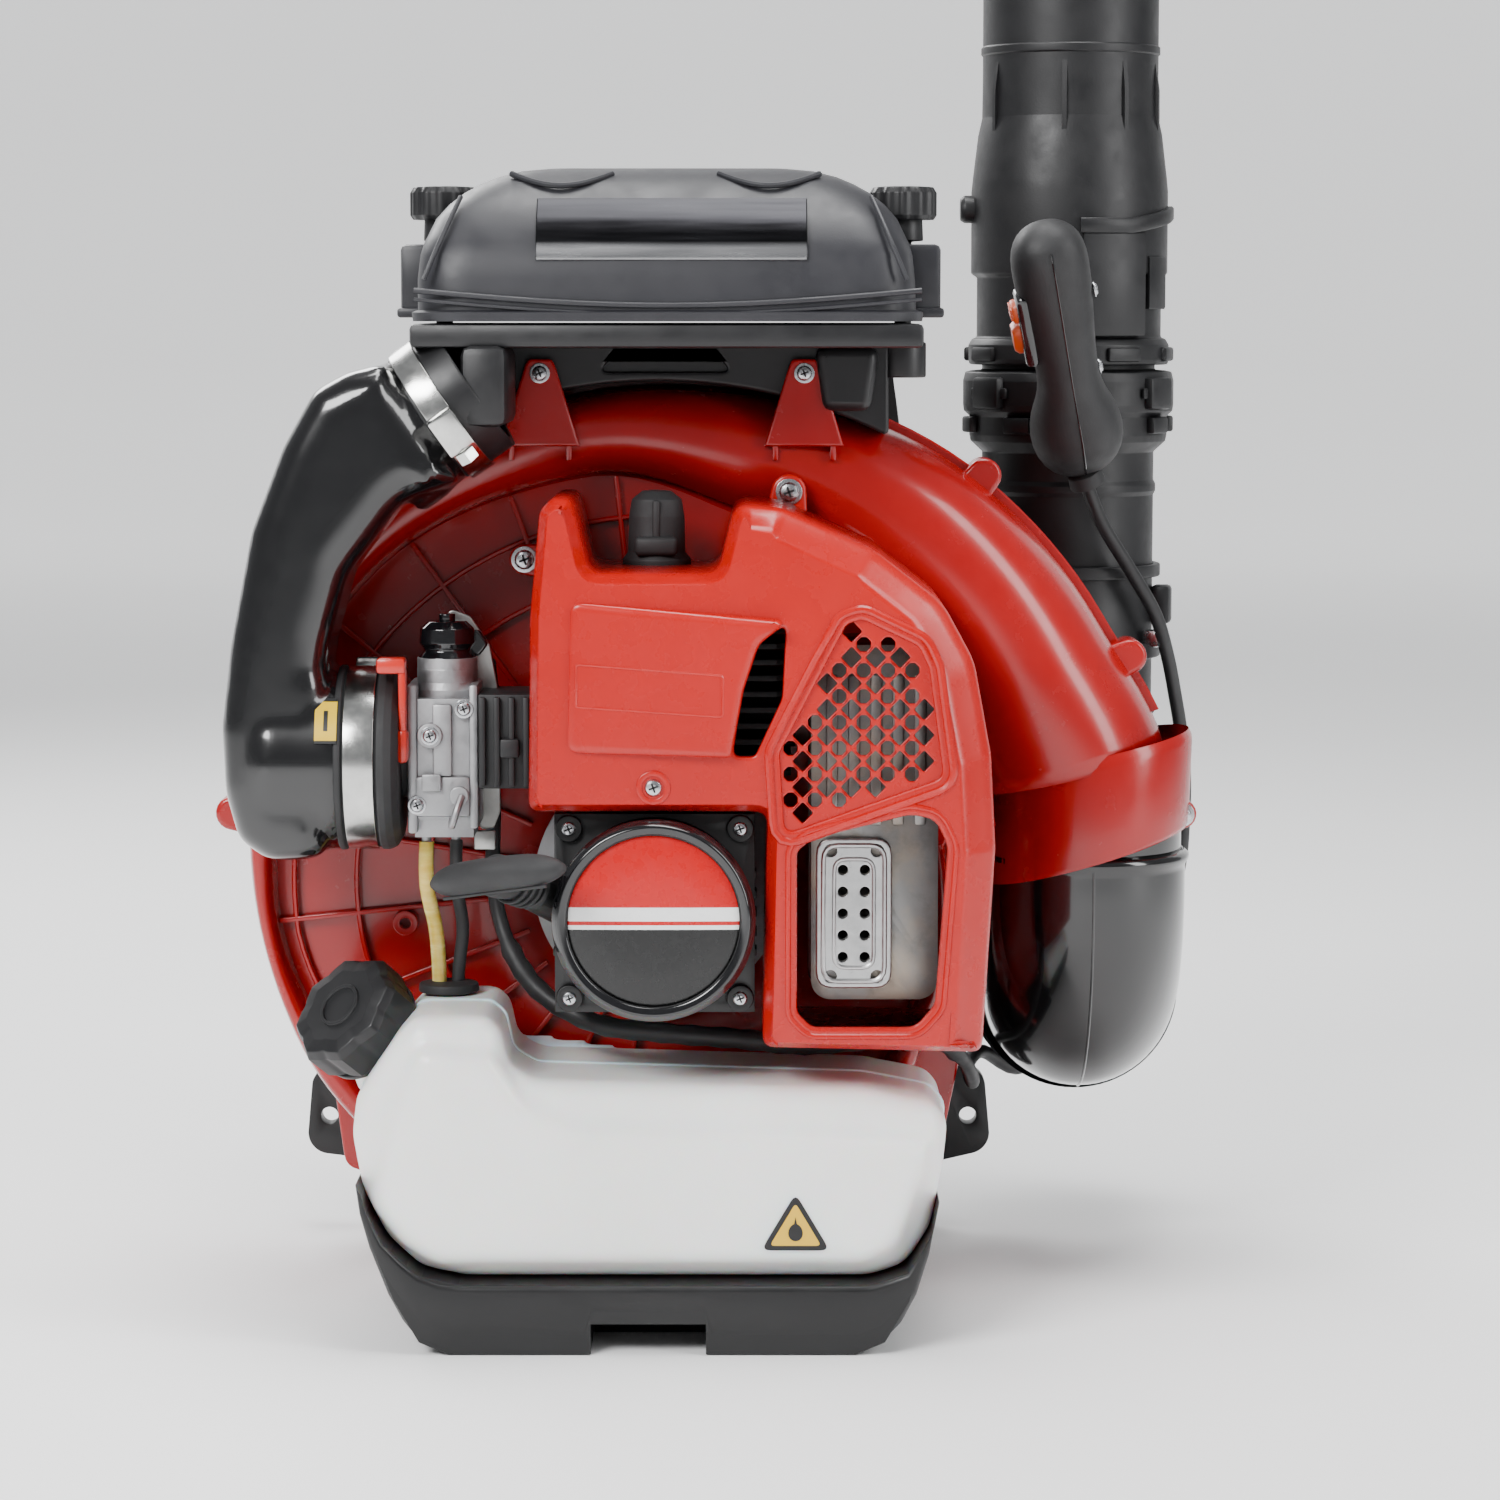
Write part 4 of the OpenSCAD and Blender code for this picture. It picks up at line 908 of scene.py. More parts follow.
cover_red = moulded("cover_red", (0.44, 0.0035, 0.0015), 0.27, 0.00002, 1500, 0.15, coat=0.12, flow_size=11)
cover_outline = rounded([
    (-51, 221), (-50, 300), (-46, 343), (-41, 348), (-33, 348), (-26, 318), (26, 318), (33, 346),
    (52, 344), (90, 327), (117, 306), (130, 282), (137, 244), (139, 206), (134, 122), (44, 124),
    (46, 221)],
    [5, 30, 8, 6, 8, 7, 7, 8, 20, 30, 30, 30, 40, 40, 5, 5, 6], 5)
window = rounded([(58, 206), (64, 211), (104, 221), (114, 219), (119, 208), (114, 143), (106, 134),
                  (64, 134), (58, 140)], [4, 8, 14, 10, 12, 8, 8, 6, 6], 4)
lattice_edge = rounded([(78, 298), (84, 300), (107, 289), (111, 280), (117, 236), (53, 213), (51, 246),
                        (69, 281)], [4, 5, 8, 8, 5, 4, 6, 20], 4)
scoop_mouth = rounded([(32, 244.5), (41, 244.5), (52, 268), (53.5, 298), (42, 290), (36, 272)],
                      [3, 3, 12, 2, 8, 20], 4)


def cover_round(normal, spot):
    """How broad the cover's front bevel is: broad on the right and the top, tight elsewhere."""
    lean = max(0.0, 0.9 * normal.x + 0.5 * normal.y) * min(1.0, max(0.0, (spot.x - 24) / 14))
    return 0.6 + 1.5 * lean ** 1.2


cover_bevel = [(0, 15), (0.2, 11.5), (0.9, 9.4), (2.2, 7.4), (5.3, 2.4), (6.2, 0.8), (7.0, 0)]
shell = plate("cover_shell", cover_outline, -112.5, -12, 7.0, [window, lattice_edge, scoop_mouth], 1.4,
              width=cover_round, profile=cover_bevel)
fit(thickened(shell, 2.6), cover_red, "red_plastic", "frame", "engine_cover")

lattice_loop = anticlockwise(lattice_edge)
lattice_sides = [(a, b) for a, b in zip(lattice_loop, lattice_loop[1:]) if (b - a).length > 6]
cells = []
for i in range(-1, 15):
    for k in range(i % 2, 19, 2):
        x, z = 50.5 + 4.9 * i, 211 + 5.25 * k
        if any((b.x - a.x) * (z - a.y) - (b.y - a.y) * (x - a.x) <= 2.8 * (b - a).length for a,
               b in lattice_sides):
            continue
        diamond = i % 2 == 0
        corners = spaced(x, z, 4.3, 4, tall=1.04) if diamond else spaced(x, z, 3.05, 8, math.pi / 8, 1.04)
        cells.append(rounded(corners, 0.8, 2))
lattice = plate("cover_lattice", inset(lattice_loop, -1.5), -110.4, -107.6, 0.4, cells, 0.5)
fit(lattice, cover_red, "red_plastic", "frame", "engine_cover")


def scoop_y(p):
    """The scoop's face stands out further towards its mouth."""
    return -114.2 - 6.0 * min(1.0, max(0.0, (p[0] + 34) / 84)) ** 1.2


scoop_outline = rounded([(-34.5, 246), (31.5, 244.5), (36.5, 272), (42.5, 290), (54, 299.5), (-33, 307)],
                        [5, 2, 20, 8, 2, 5], 5)
scoop = plate("cover_scoop", scoop_outline, -119, -112, 3.0)
for v in scoop.data.vertices:
    x, y = v.co.x * 1000, v.co.y * 1000
    v.co.y = (-112 + (y + 112) * (-112 - scoop_y((x, 0))) / 7) * 0.001
panel = [Vector(p) for p in [(-31, 264.8), (28, 261.2), (28, 277.8), (-31, 282)]]
panel_line = flat_bead("panel_line", rounded(panel, 1.5, 3), lambda p: scoop_y(p) + 0.25, 0.75)
ridge = flat_bead("ridge", inset(lattice_loop, -4.5), -112.2, 1.9, 10)
ridge_two = flat_bead("ridge", inset(anticlockwise(window), -3.6), -112.2, 1.3, 10)
boss = turned("boss", [(4.6, 110), (7.2, 110), (7.0, 113.2), (4.6, 113.2)], aimed((0, 0, 232), (0, -1, 0)),
              32, 0.6)
ear_top = plate("ear", tab((55.5, 347), (0.1, 1), 15, 18, 10), -15, -10, 1.5)
ear_left = plate("ear", tab((-57, 318), (-1, 0.1), 13, 12, 8), -9.6, -5, 1.5)
ear_hole = turned("hole", [(1.6, 14.6), (3.4, 14.6), (3.4, 16), (1.6, 16)],
                  aimed((54, 0, 337.5), (0, -1, 0)), 24, 0.3)
fit(merged("cover_details", scoop, panel_line, ridge, ridge_two, boss, ear_top, ear_left, ear_hole),
    cover_red, "red_plastic", "frame", "engine_cover")
screws("cover_screw", [(0, -111.8, 232)], 3.6, "frame", "engine_cover")


# ---- Recoil starter
# A black moulded housing on the crankcase, a glossy ring round a printed disc, a rope reel and its pull
# grip. The disc has plain bands of red, white and black.

starter_black = moulded("starter_black", (0.004, 0.004, 0.0045), 0.4)
gloss_black = moulded("gloss_black", (0.004, 0.004, 0.005), 0.14, 0.00001, 1500, 0.2, coat=0.7)
softened("starter_housing", 1.3, starter_black, "black_plastic", "frame")
ring = turned("starter_ring", [(34.8, 112), (40.6, 108), (41.4, 113.5), (38.6, 117), (35.4, 116.4)],
              aimed((0, 0, crank_z), (0, -1, 0)), 96, 1.2)
fit(ring, gloss_black, "black_gloss", "frame", "starter_housing", sharp=60)
vents = [block("vent", (31, -93.4, crank_z - 38), (39, -91.6, crank_z - 36), 0.3)]
for sx in (-1, 1):
    for k in range(5):
        vents.append(block("vent", (sx * 40.4 - 1.4, -90, 160 + 8 * k), (sx * 40.4 + 1.4, -78, 163 + 8 * k),
                           0.4))
for x in (-35, 35):
    for z in (-35, 35):
        vents.append(turned("boss", [(2.6, 91), (5.8, 91), (5.4, 94.4), (2.6, 94.4)],
                            aimed((x, 0, crank_z + z), (0, -1, 0)), 24, 0.4))
fit(merged("starter_details", *vents), starter_black, "black_plastic", "frame", "starter_housing")
screws("starter_screws", [(x, -93.6, crank_z + z) for x in (-35, 35) for z in (-35, 35)], 3.0, "frame",
       "starter_housing")

badge_paint = Paint("badge_bands", Coat_Weight=0.1, Coat_Roughness=0.05)
height = badge_paint.along("Z")
speck = badge_paint.noise(300, detail=3)
bands = badge_paint.mix(height > 0.1746, (0.002, 0.002, 0.0022), (0.86, 0.86, 0.85))
bands = badge_paint.mix((height > 0.1764) * (height < 0.1780), bands, (0.5, 0.0005, 0.002))
bands = badge_paint.mix(height > 0.1836, bands, (0.5, 0.0005, 0.002))
badge_paint.feed("Base Color", badge_paint.mix(badge_paint.ranged(speck, 0.55, 0.8, 0, 0.02), bands,
                                               (0.3, 0.28, 0.27)))
badge_paint.feed("Roughness", badge_paint.ranged(speck, 0.2, 0.8, 0.2, 0.38))
badge = turned("badge_disc", [(0, 115.6), (20, 115.4), (33, 114.9), (34.7, 114.4), (34.7, 113.2),
                              (0, 113.2)],
               aimed((0, 0, crank_z), (0, -1, 0)), 96, 0, closed=False)
fit(badge, badge_paint.material, "badge", "frame", "starter_badge")
softened("starter_reel", 0.5, moulded("reel_white", (0.75, 0.75, 0.72), 0.45), "tank_white", "reel")

pull_place = aimed((-45, -100, 188), (-0.57, -0.76, 0.31), (-0.8208, 0.5438, -0.1744))
grip_loops = []
for k in range(25):
    s = -1 + k / 12
    x = 33.5 * s
    tall = 7.2 * (1 - abs(s) ** 5 * 0.75) + 1.2 * math.exp(-(s / 0.3) ** 2)
    wide = 7.0 * (1 - abs(s) ** 5 * 0.75)
    arch = 3.0 * s * s
    grip_loops.append([pull_place @ Vector((x, wide * math.cos(2 * math.pi * q / 28),
                                            33.5 - arch + tall * math.sin(2 * math.pi * q / 28)))
                       for q in range(28)])
handle = loft("handle_bar", grip_loops)
stem = turned("stem", [(0, 8), (5.4, 8), (6.2, 14), (8.6, 27), (9, 33), (0, 33)], pull_place, 32, 1.5,
              closed=False)
ribs = [turned("rib", [(8.1, z), (9.6, z), (9.6, z + 1.8), (8.1, z + 1.8)], pull_place, 32, 0.5)
        for z in (12, 16, 20)]
bar_end = sweep("line", [pull_place @ Vector((x, 7.3 - 0.9 * abs(x / 33) ** 4, 33.5 - 3 * (x / 33.5) ** 2))
                         for x in range(-26, 27, 2)], 0.7, 8)
fit(merged("pull_grip", handle, stem, *ribs, bar_end), rubber, "rubber", "pull", "starter_handle", sharp=60)
guide = turned("rope_guide", [(3.4, 6), (9.6, 6), (8.4, 9.4), (4.2, 9.4)], pull_place, 32, 1)
fit(guide, starter_black, "black_plastic", "frame", "starter_housing")
rope_cloth = woven("rope_cloth", (0.55, 0.53, 0.48), 0.7)
rope_points = [pull_place @ Vector((0, 0, h)) for h in [-26 + 38 * k / 30 for k in range(31)]]
rope = sweep("starter_rope", rope_points, 1.75, 12)
fit(rope, rope_cloth, "webbing", None, "starter_handle")
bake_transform(rope, "frame", "pull", tuple(rope_points[0] * 0.001), tuple(rope_points[-1] * 0.001))


# ---- Carburettor
# A die-cast diaphragm carburettor on a black plastic manifold, with a black throttle drum on top that
# the cable turns, a bright idle screw and two hose barbs.

drum_place = Matrix.Translation((-87, -52, 0))
manifold_black = moulded("manifold_black", (0.01, 0.01, 0.011), 0.5)
softened("intake_manifold", 1.5, manifold_black, "black_plastic", "frame")
fins = [block("fin", (-72.5 + 6 * i, -75, 228), (-70 + 6 * i, -71, 265), 0.6) for i in range(5)]
fins += [block("lug", (-64, -76.5, 240), (-56, -71, 248), 1.2)]
fit(merged("manifold_ribs", *fins), manifold_black, "black_plastic", "frame", "intake_manifold")
softened("carburettor", 1.4, alloy, "alloy", "frame", segments=3)
carb_bits = [
    block("flange", (-102.6, -71, 208), (-98.4, -34, 270), 1.4),
             block("flange", (-77, -71, 210), (-73.2, -34, 270), 1.4),
    block("pump", (-99.5, -71.5, 215), (-76.5, -68, 232), 1.6),
             block("web", (-92, -72, 232), (-84, -68.5, 262), 1.2),
    turned("tower", [(0, 262), (13.6, 262), (13.6, 267), (12.6, 270), (12.6, 276), (0, 276)],
           drum_place, 48, 0.8, closed=False),
    turned("boss", [(0, 67), (5.6, 67), (5.2, 73.6), (0, 73.6)], aimed((-93, 0, 249), (0, -1, 0)),
           24, 0.5, closed=False),
    turned("boss", [(0, 67), (4, 67), (4, 74), (0, 74)], aimed((-81, 0, 224), (0, -1, 0)), 24, 0.5,
           closed=False),
    sweep("pipe", smoothed([(-84, -70, 214), (-84, -76, 212), (-82, -78, 218), (-80, -74, 224)]), 1.6, 10),
    block("tab", (-96.5, -73.6, 226), (-88.5, -70.5, 233), 0.6)]
fit(merged("carburettor_details", *carb_bits), alloy, "alloy", "frame", "carburettor")
screws("carburettor_screws", [(-93, -73.2, 249), (-98.6, -71.2, 220), (-79, -71.2, 260)], 2.9, "frame",
       "carburettor")
bracket_outline = rounded([(-75, 206), (-69, 206), (-66, 214), (-66, 262), (-70, 284), (-78, 296),
                           (-86, 299), (-91, 294), (-78, 282)], 3)
bracket = plate("cable_bracket", bracket_outline, -40, -38, 0.5, back_edge=0.5)
foot = block("foot", (-77, -44, 198), (-68, -41, 206), 0.6)
fit(merged("cable_bracket_plate", bracket, foot), metal("galvanised", (0.5, 0.5, 0.48), 0.35), "steel",
    "frame",
    "carburettor")
drum = turned("drum", [(0, 276.4), (11.6, 276.4), (12, 280), (9.5, 283), (11.6, 286), (11.2, 292),
                       (8, 295), (0, 295.5)],
              drum_place, 48, 1, closed=False)
lever = plate("lever", rounded([(-94, 280), (-74, 280), (-70, 285), (-74, 291), (-94, 291)], 3),
              -49, -44, 1, back_edge=1)
stud = turned("stud", [(0, 295), (3.4, 295), (3.4, 298), (0, 298)], drum_place, 24, 0.4, closed=False)
fit(merged("throttle_drum", drum, lever, stud), gloss_black, "black_gloss", "throttle", "throttle_arm")

orange = moulded("orange_plastic", (0.72, 0.09, 0.012), 0.32, worn=0.4, coat=0.2)
choke_red = moulded("choke_red", (0.62, 0.02, 0.01), 0.3, coat=0.3)
choke = merged("choke_tab",
               block("arm", (-105.6, -78, 246), (-102.4, -69.5, 279), 1.2),
               block("hub", (-106.4, -79.5, 238), (-101.8, -67.5, 252), 2),
               block("finger", (-114.5, -79, 275), (-102.4, -68.5, 281.5), 1.6))
fit(choke, choke_red, "orange_plastic", "choke", "choke_lever")


# ---- Fuel lines
# A clear yellow supply hose and a dark return hose of soft polyurethane run from the tank's rubber grommet
# and push onto the barbs of the carburettor.

clear_yellow = Paint("clear_yellow_hose", Subsurface_Weight=0.4, Subsurface_Scale=0.002, IOR=1.45,
                     Coat_Weight=0.4)
stain = clear_yellow.noise(60, (1, 1, 3), detail=4)
clear_yellow.feed("Base Color", clear_yellow.mix(clear_yellow.ranged(stain, 0.3, 0.7), (0.55, 0.34, 0.015),
                                                 (0.78, 0.66, 0.2)))
clear_yellow.feed("Roughness", clear_yellow.ranged(stain, 0.3, 0.7, 0.15, 0.32))
clear_yellow.feed("Normal", clear_yellow.bump(stain, 0.0002, 0.3))
supply = sweep("supply_hose", smoothed([(-92, -44, 122), (-92, -44, 145), (-93, -48, 165), (-96, -56, 184),
                                        (-96, -56, 203)], 6), 3.1, 16)
fit(supply, clear_yellow.material, "fuel_hose", "frame", "fuel_line")
back_hose = sweep("return_hose", smoothed([(-84, -42, 122), (-84, -42, 145), (-82, -43, 165),
                                           (-84, -50, 184), (-84, -50, 203)], 6), 2.7, 16)
fit(back_hose, rubber, "rubber", "frame", "return_line")
grommet = turned("tank_grommet_rubber", [(0, 131), (9.8, 131), (9.8, 137.4), (12.8, 138), (12.4, 141.4),
                                         (7, 142.4), (0, 142)],
                 Matrix.Translation((-88, -43, 0)), 48, 0.8, closed=False)
fit(grommet, rubber, "rubber", "frame", "tank_grommet")


# ---- Intake duct
# A blow-moulded glossy black duct brings air down from the cleaner to a short rubber boot on the
# carburettor; stainless worm-drive bands grip both ends.

duct_outline = rounded([
    (-160, 197.5), (-172, 206), (-177.5, 226), (-178.5, 253), (-174.5, 287), (-165.5, 333), (-152, 368),
    (-139, 391), (-126, 398), (-110, 402), (-79, 353.5), (-103, 346), (-126, 316), (-134, 287),
    (-135.5, 277), (-134, 271), (-134, 197.5)],
    [14, 12, 30, 30, 30, 30, 30, 14, 12, 4, 4, 20, 24, 20, 8, 6, 12], 4)
tube_shape = plate("duct_body", duct_outline, -86.5, -17.5, 13, back_edge=13)
boot_place = Matrix.Translation((0, -52, 238)) @ Matrix.Rotation(math.pi / 2, 4, "Y")
duct_place = Matrix.Translation((-96, -52, 377.5)) @ Matrix.Rotation(math.radians(55.5), 4, "Y")
neck = turned("neck", [(0, -22), (30.6, -22), (30.4, -9), (28.8, -3), (28.6, 6), (0, 6)], duct_place,
              64, 1.5, closed=False)
chamber = turned("chamber", [(0, -168), (33, -168), (38.2, -160), (38.6, -134), (38.2, -129.4),
                             (0, -129.4)],
                 boot_place, 64, 3, closed=False)
duct = melted(merged("duct_shell", tube_shape, neck, chamber), 2.0, 5)
duct_black = moulded("duct_black", (0.004, 0.004, 0.0045), 0.2, 0.00002, 1500, 0.1, coat=0.7, flow_size=14)
fit(duct, duct_black, "black_gloss", "frame", "intake_duct", sharp=180)
boot = turned("boot", [(30, -135), (37, -135), (37.4, -132), (38.6, -131), (38.6, -129), (37, -128.2),
                       (37, -114.6),
                       (38.4, -113.8), (38.4, -111), (37, -108), (33, -105.6), (17, -105.4), (16, -102.6),
                       (8, -102.6),
                       (8, -106), (30, -110)], boot_place, 72, 0.8)
fit(boot, rubber, "rubber", "frame", "intake_boot", sharp=60)
banded = metal("stainless_band", (0.66, 0.66, 0.64), 0.2, (1, 1, 1), grime=0.25)
bands = [turned("band", [(37.2, -127.6), (38.4, -127.6), (38.4, -115.2), (37.2, -115.2)], boot_place,
                96, 0.3),
         turned("band", [(29.2, 3.6), (30.8, 3.6), (30.8, 14.4), (29.2, 14.4)], duct_place, 96, 0.3)]
worm_place = duct_place @ Matrix.Rotation(math.radians(-72), 4, "Z")
bands += [block("worm", (29.6, -9, 3), (36, 9, 15), 1.2, worm_place),
          turned("screw", [(0, 0), (4.6, 0), (4.6, 5), (3.6, 6), (0, 6)],
                 worm_place @ Matrix.Translation((33.5, 9, 9)) @ Matrix.Rotation(-math.pi / 2, 4, "X"),
                 6, 0.3, closed=False)]
top_place = boot_place @ Matrix.Rotation(math.radians(150), 4, "Z")
bands += [block("worm", (37.4, -8, -126.5), (43, 8, -116.5), 1.2, top_place)]
fit(merged("band_clamps", *bands), banded, "steel", "frame", "intake_clamps", sharp=40)

label_paint = Paint("season_label", Coat_Weight=0.5, Coat_Roughness=0.1)
lift_z = label_paint.along("Z")
patch = label_paint.noise(260, detail=3)
border = 1 - (lift_z > 0.2487) * (lift_z < 0.2640)
label_x = label_paint.along("X")
arrow = (lift_z > 0.2525) * (lift_z < 0.2605) * (label_x > -0.1354) * (label_x < -0.1336)
inked = label_paint.node("ShaderNodeMath", {"operation": "MAXIMUM"}, {0: border, 1: arrow})
label_paint.feed("Base Color", label_paint.mix(inked, (0.7, 0.45, 0.002), (0.006, 0.006, 0.006)))
label_paint.feed("Roughness", label_paint.ranged(patch, 0.2, 0.8, 0.25, 0.4))
label_loops = []
for k in range(13):
    t = math.radians(14 + 30 * k / 12)
    out = Vector((0, -math.cos(t), math.sin(t)))
    label_loops.append([Vector((x, -52, 238)) + out * r for x,
                        r in ((-139, 38), (-139, 39.35), (-130, 39.35), (-130, 38))])
label = loft("season_sticker", label_loops)
fit(label, label_paint.material, "badge", "frame", "intake_duct")


# ---- Air cleaner
# A black base bolted to the volute holds a pleated paper element under a faceted grey cover, which two
# knurled knobs hold down. The cover has a blank strip across its front, dark streaked foil with a painted
# highlight along its lower band, and two arched creases.

base_black = moulded("base_black", (0.009, 0.009, 0.01), 0.42)
arc_points = [(x, crank_z + math.sqrt(215.5 ** 2 - x * x)) for x in range(96, -80, -6)]
skin_outline = [(98, 409), (-78.4, 409), (-78.4, 372), *arc_points[::-1], (98, 372)]
hollow = rounded([(-17, 407), (23, 407), (31, 397.5), (-25, 397.5)], 2)
skin = plate("cleaner_skirt", rounded(skin_outline, 1.5, 2), -6, -2.5, 1.6, [hollow], 1.4)
body = plate("body", rounded(skin_outline, 1.5, 2), -3.4, 78.6, 1.2, back_edge=1.5)
tray = block("tray", (-100, -75, 408.2), (110, 80, 418), 2.2)
elbow_box = block("box", (-79, -80, 376), (-60, -12, 409), 4)
cuff = turned("cuff", [(25, 2), (29, 2), (29, 26), (25, 26)], duct_place, 64, 0.8)
posts = [turned("post", [(0, 395), (10, 395), (10, 410), (0, 410)], Matrix.Translation((x, 2, 0)),
                32, 1, closed=False)
         for x in (-91, 104)]
cheeks = [plate("cheek", rounded([(x, 408), (x + 28, 408), (x + 24, z), (x + 4, z)], 5), -14, -8, 4)
          for x, z in ((-94, 386), (66, 381))]
fit(merged("cleaner_base_moulding", skin, body, tray, elbow_box, cuff, *posts, *cheeks), base_black,
    "black_plastic", "frame", "cleaner_base")

paper = Paint("filter_paper")
pleat = paper.node("ShaderNodeMath", {"operation": "SINE"}, {0: paper.along("X") * 1250.0})
fibre = paper.noise(500, detail=4)
# The paper's colour follows its pleats. Painted shade darkens each fold's valley and a painted highlight
# lightens each crest.
paper.feed("Base Color", paper.mix(paper.ranged(pleat, -1, 1), (0.35, 0.28, 0.16), (0.68, 0.6, 0.42)))
paper.feed("Roughness", paper.ranged(fibre, 0.2, 0.8, 0.75, 0.95))
paper.feed("Normal", paper.bump(pleat, 0.0008, 0.8, paper.bump(fibre, 0.0001, 0.5)))
softened("filter_element", 0.6, paper.material, "filter_media", "frame")

cover_grey = moulded("cleaner_grey", (0.019, 0.019, 0.023), 0.44, 0.00004, 1300, 0.3)
levels = [(419, -100, 110, -75, 80), (422.6, -100.4, 110.4, -75.4, 80.4), (423.6, -98, 107.5, -73, 78),
          (436, -98, 107, -73, 77.5), (446, -97, 106, -71, 75.5), (451.6, -95.4, 104.4, -68, 73),
          (453, -94.6, 103.6, -67.2, 72),
          (461, -91, 100, -62, 67), (467, -86, 95, -56, 61), (472, -80, 89, -50, 55),
          (476, -73, 82, -44, 49), (479, -66, 75, -38, 43),
          (481.4, -57, 66, -30, 35), (482.6, -46, 55, -21, 26), (483, -30, 40, -8, 12)]
shell_loops = []
for z, x0, x1, y0, y1 in levels:
    corner = min(24, (y1 - y0) * 0.4)
    plan = rounded([(x0, y0), ((x0 + x1) / 2, y0 - 1.5), (x1, y0), (x1 + 0.5, (y0 + y1) / 2), (x1, y1),
                    ((x0 + x1) / 2, y1 + 1), (x0, y1), (x0 - 0.5, (y0 + y1) / 2)],
                   [corner, 900, corner, 900, corner, 900, corner, 900], 12)
    loop = []
    for p in plan:
        x = p.x
        if z > 452:
            hollow = min(1.0, max(0.0, (23 - abs(p.y - 2)) / 5))
            x = x + (max(x, -71.5) - x) * hollow if x < 0 else x + (min(x, 84.5) - x) * hollow
        loop.append((x, p.y, z))
    shell_loops.append(loop)
cover_top = loft("cover_shell_top", shell_loops)
ears = [block("ear", (x, -24, 420.5), (x + 18, 28, 451), 2.4) for x in (-107.5, 101)]
ears += [block("ear_foot", (x, -25.5, 420.4), (x + 19, 29.5, 424.5), 1.2) for x in (-109, 101.4)]
smile = [(-98 + 8.625 * k, -73.4 - 1.4 * math.sin(k / 24 * math.pi),
          431.5 - 6 * math.sin(k / 24 * math.pi)) for k in range(25)]
lip_line = sweep("lip", smile, 1.2, 10)
second = sweep("lip", [(x, y - 0.2, z - 3.6) for x, y, z in smile], 0.8, 8)
arches = []
for x0, x1 in ((-60, -18), (26, 68)):
    arch = [(x0 + (x1 - x0) * k / 12, -38 - 12 * math.sin(math.pi * k / 12),
             479.8 - 5.2 * math.sin(math.pi * k / 12))
            for k in range(13)]
    arches.append(sweep("crease", arch, 1.3, 8))
for x0, x1 in ((-94, -80), (89, 103)):
    down = [(x0 + (x1 - x0) * (k / 10 if x0 < 0 else 1 - k / 10), -72.4 + 20 * (k / 10) ** 2,
             436 + 34 * k / 10) for k in range(11)]
    arches.append(sweep("crease", down, 1.0, 8))
fit(merged("cover_moulding", cover_top, *ears, lip_line, second, *arches), cover_grey, "cover_grey",
    "cover", "cleaner_cover",
    sharp=28)

strip_path = [(-72.6, 443.6), (-72.9, 446), (-70.0, 453), (-67.2, 457.5), (-64.0, 461.3), (-58.2, 467.2),
              (-56.6, 468.8)]
strip_loops = []
for x, shrink in ((-48.4, 1), (-48, 0), (62, 0), (62.4, 1)):
    out = [(x, y - 1.0 + 0.5 * shrink, z + 0.5 - 0.3 * shrink) for y, z in strip_path]
    strip_loops.append(out + [(x, y + 2.5, z - 1.5) for y, z in strip_path[::-1]])
strip = loft("cover_strip", strip_loops)
foil = Paint("strip_foil", Metallic=1.0)
rise = foil.along("Z")
streak = foil.noise(60, (0.4, 6, 6), detail=4)
dark_foil = foil.mix(foil.ranged(streak, 0.3, 0.7), (0.018, 0.018, 0.02), (0.03, 0.03, 0.033))
# Below about 450 mm the strip is painted bright silver. This is a painted highlight where it bends down onto
# the steep facet. Above that it keeps the dark streaked foil.
foil.feed("Base Color", foil.mix(foil.ranged(rise, 0.4485, 0.4515, 1, 0), dark_foil, (0.5, 0.5, 0.51)))
foil.feed("Roughness", foil.ranged(streak, 0.2, 0.8, 0.16, 0.3))
fit(strip, foil.material, "steel", "cover", "cleaner_cover", sharp=45)

for x, body, node in ((-91, "left_knob", "knob_left"), (104, "right_knob", "knob_right")):
    place = Matrix.Translation((x, 2, 0))
    head = turned("head", [(0, 461.6), (12.6, 461.6), (13.8, 463.5), (13.8, 473), (12.4, 475.4),
                           (6, 475.8), (5, 474.6), (0, 474.6)],
                  place, 120, 0.7, closed=False,
                  ripple=lambda t: 1 + 0.035 * math.copysign(abs(math.cos(12 * t)) ** 0.5,
                                                             math.cos(12 * t)))
    neck = turned("neck", [(0, 400), (3.6, 400), (3.6, 452.4), (8.6, 452.8), (8.2, 462), (0, 462)],
                  place, 32, 0.6, closed=False)
    fit(merged(node + "_knurled", head, neck), base_black, "black_plastic", body, node, sharp=30)


# ---- Fuel tank
# A blow-moulded tank in milky white polythene about 2 mm thick, with soft steps, a filler neck and an
# eight-sided black cap. A stuck-on yellow triangle with a drop warns of fuel.

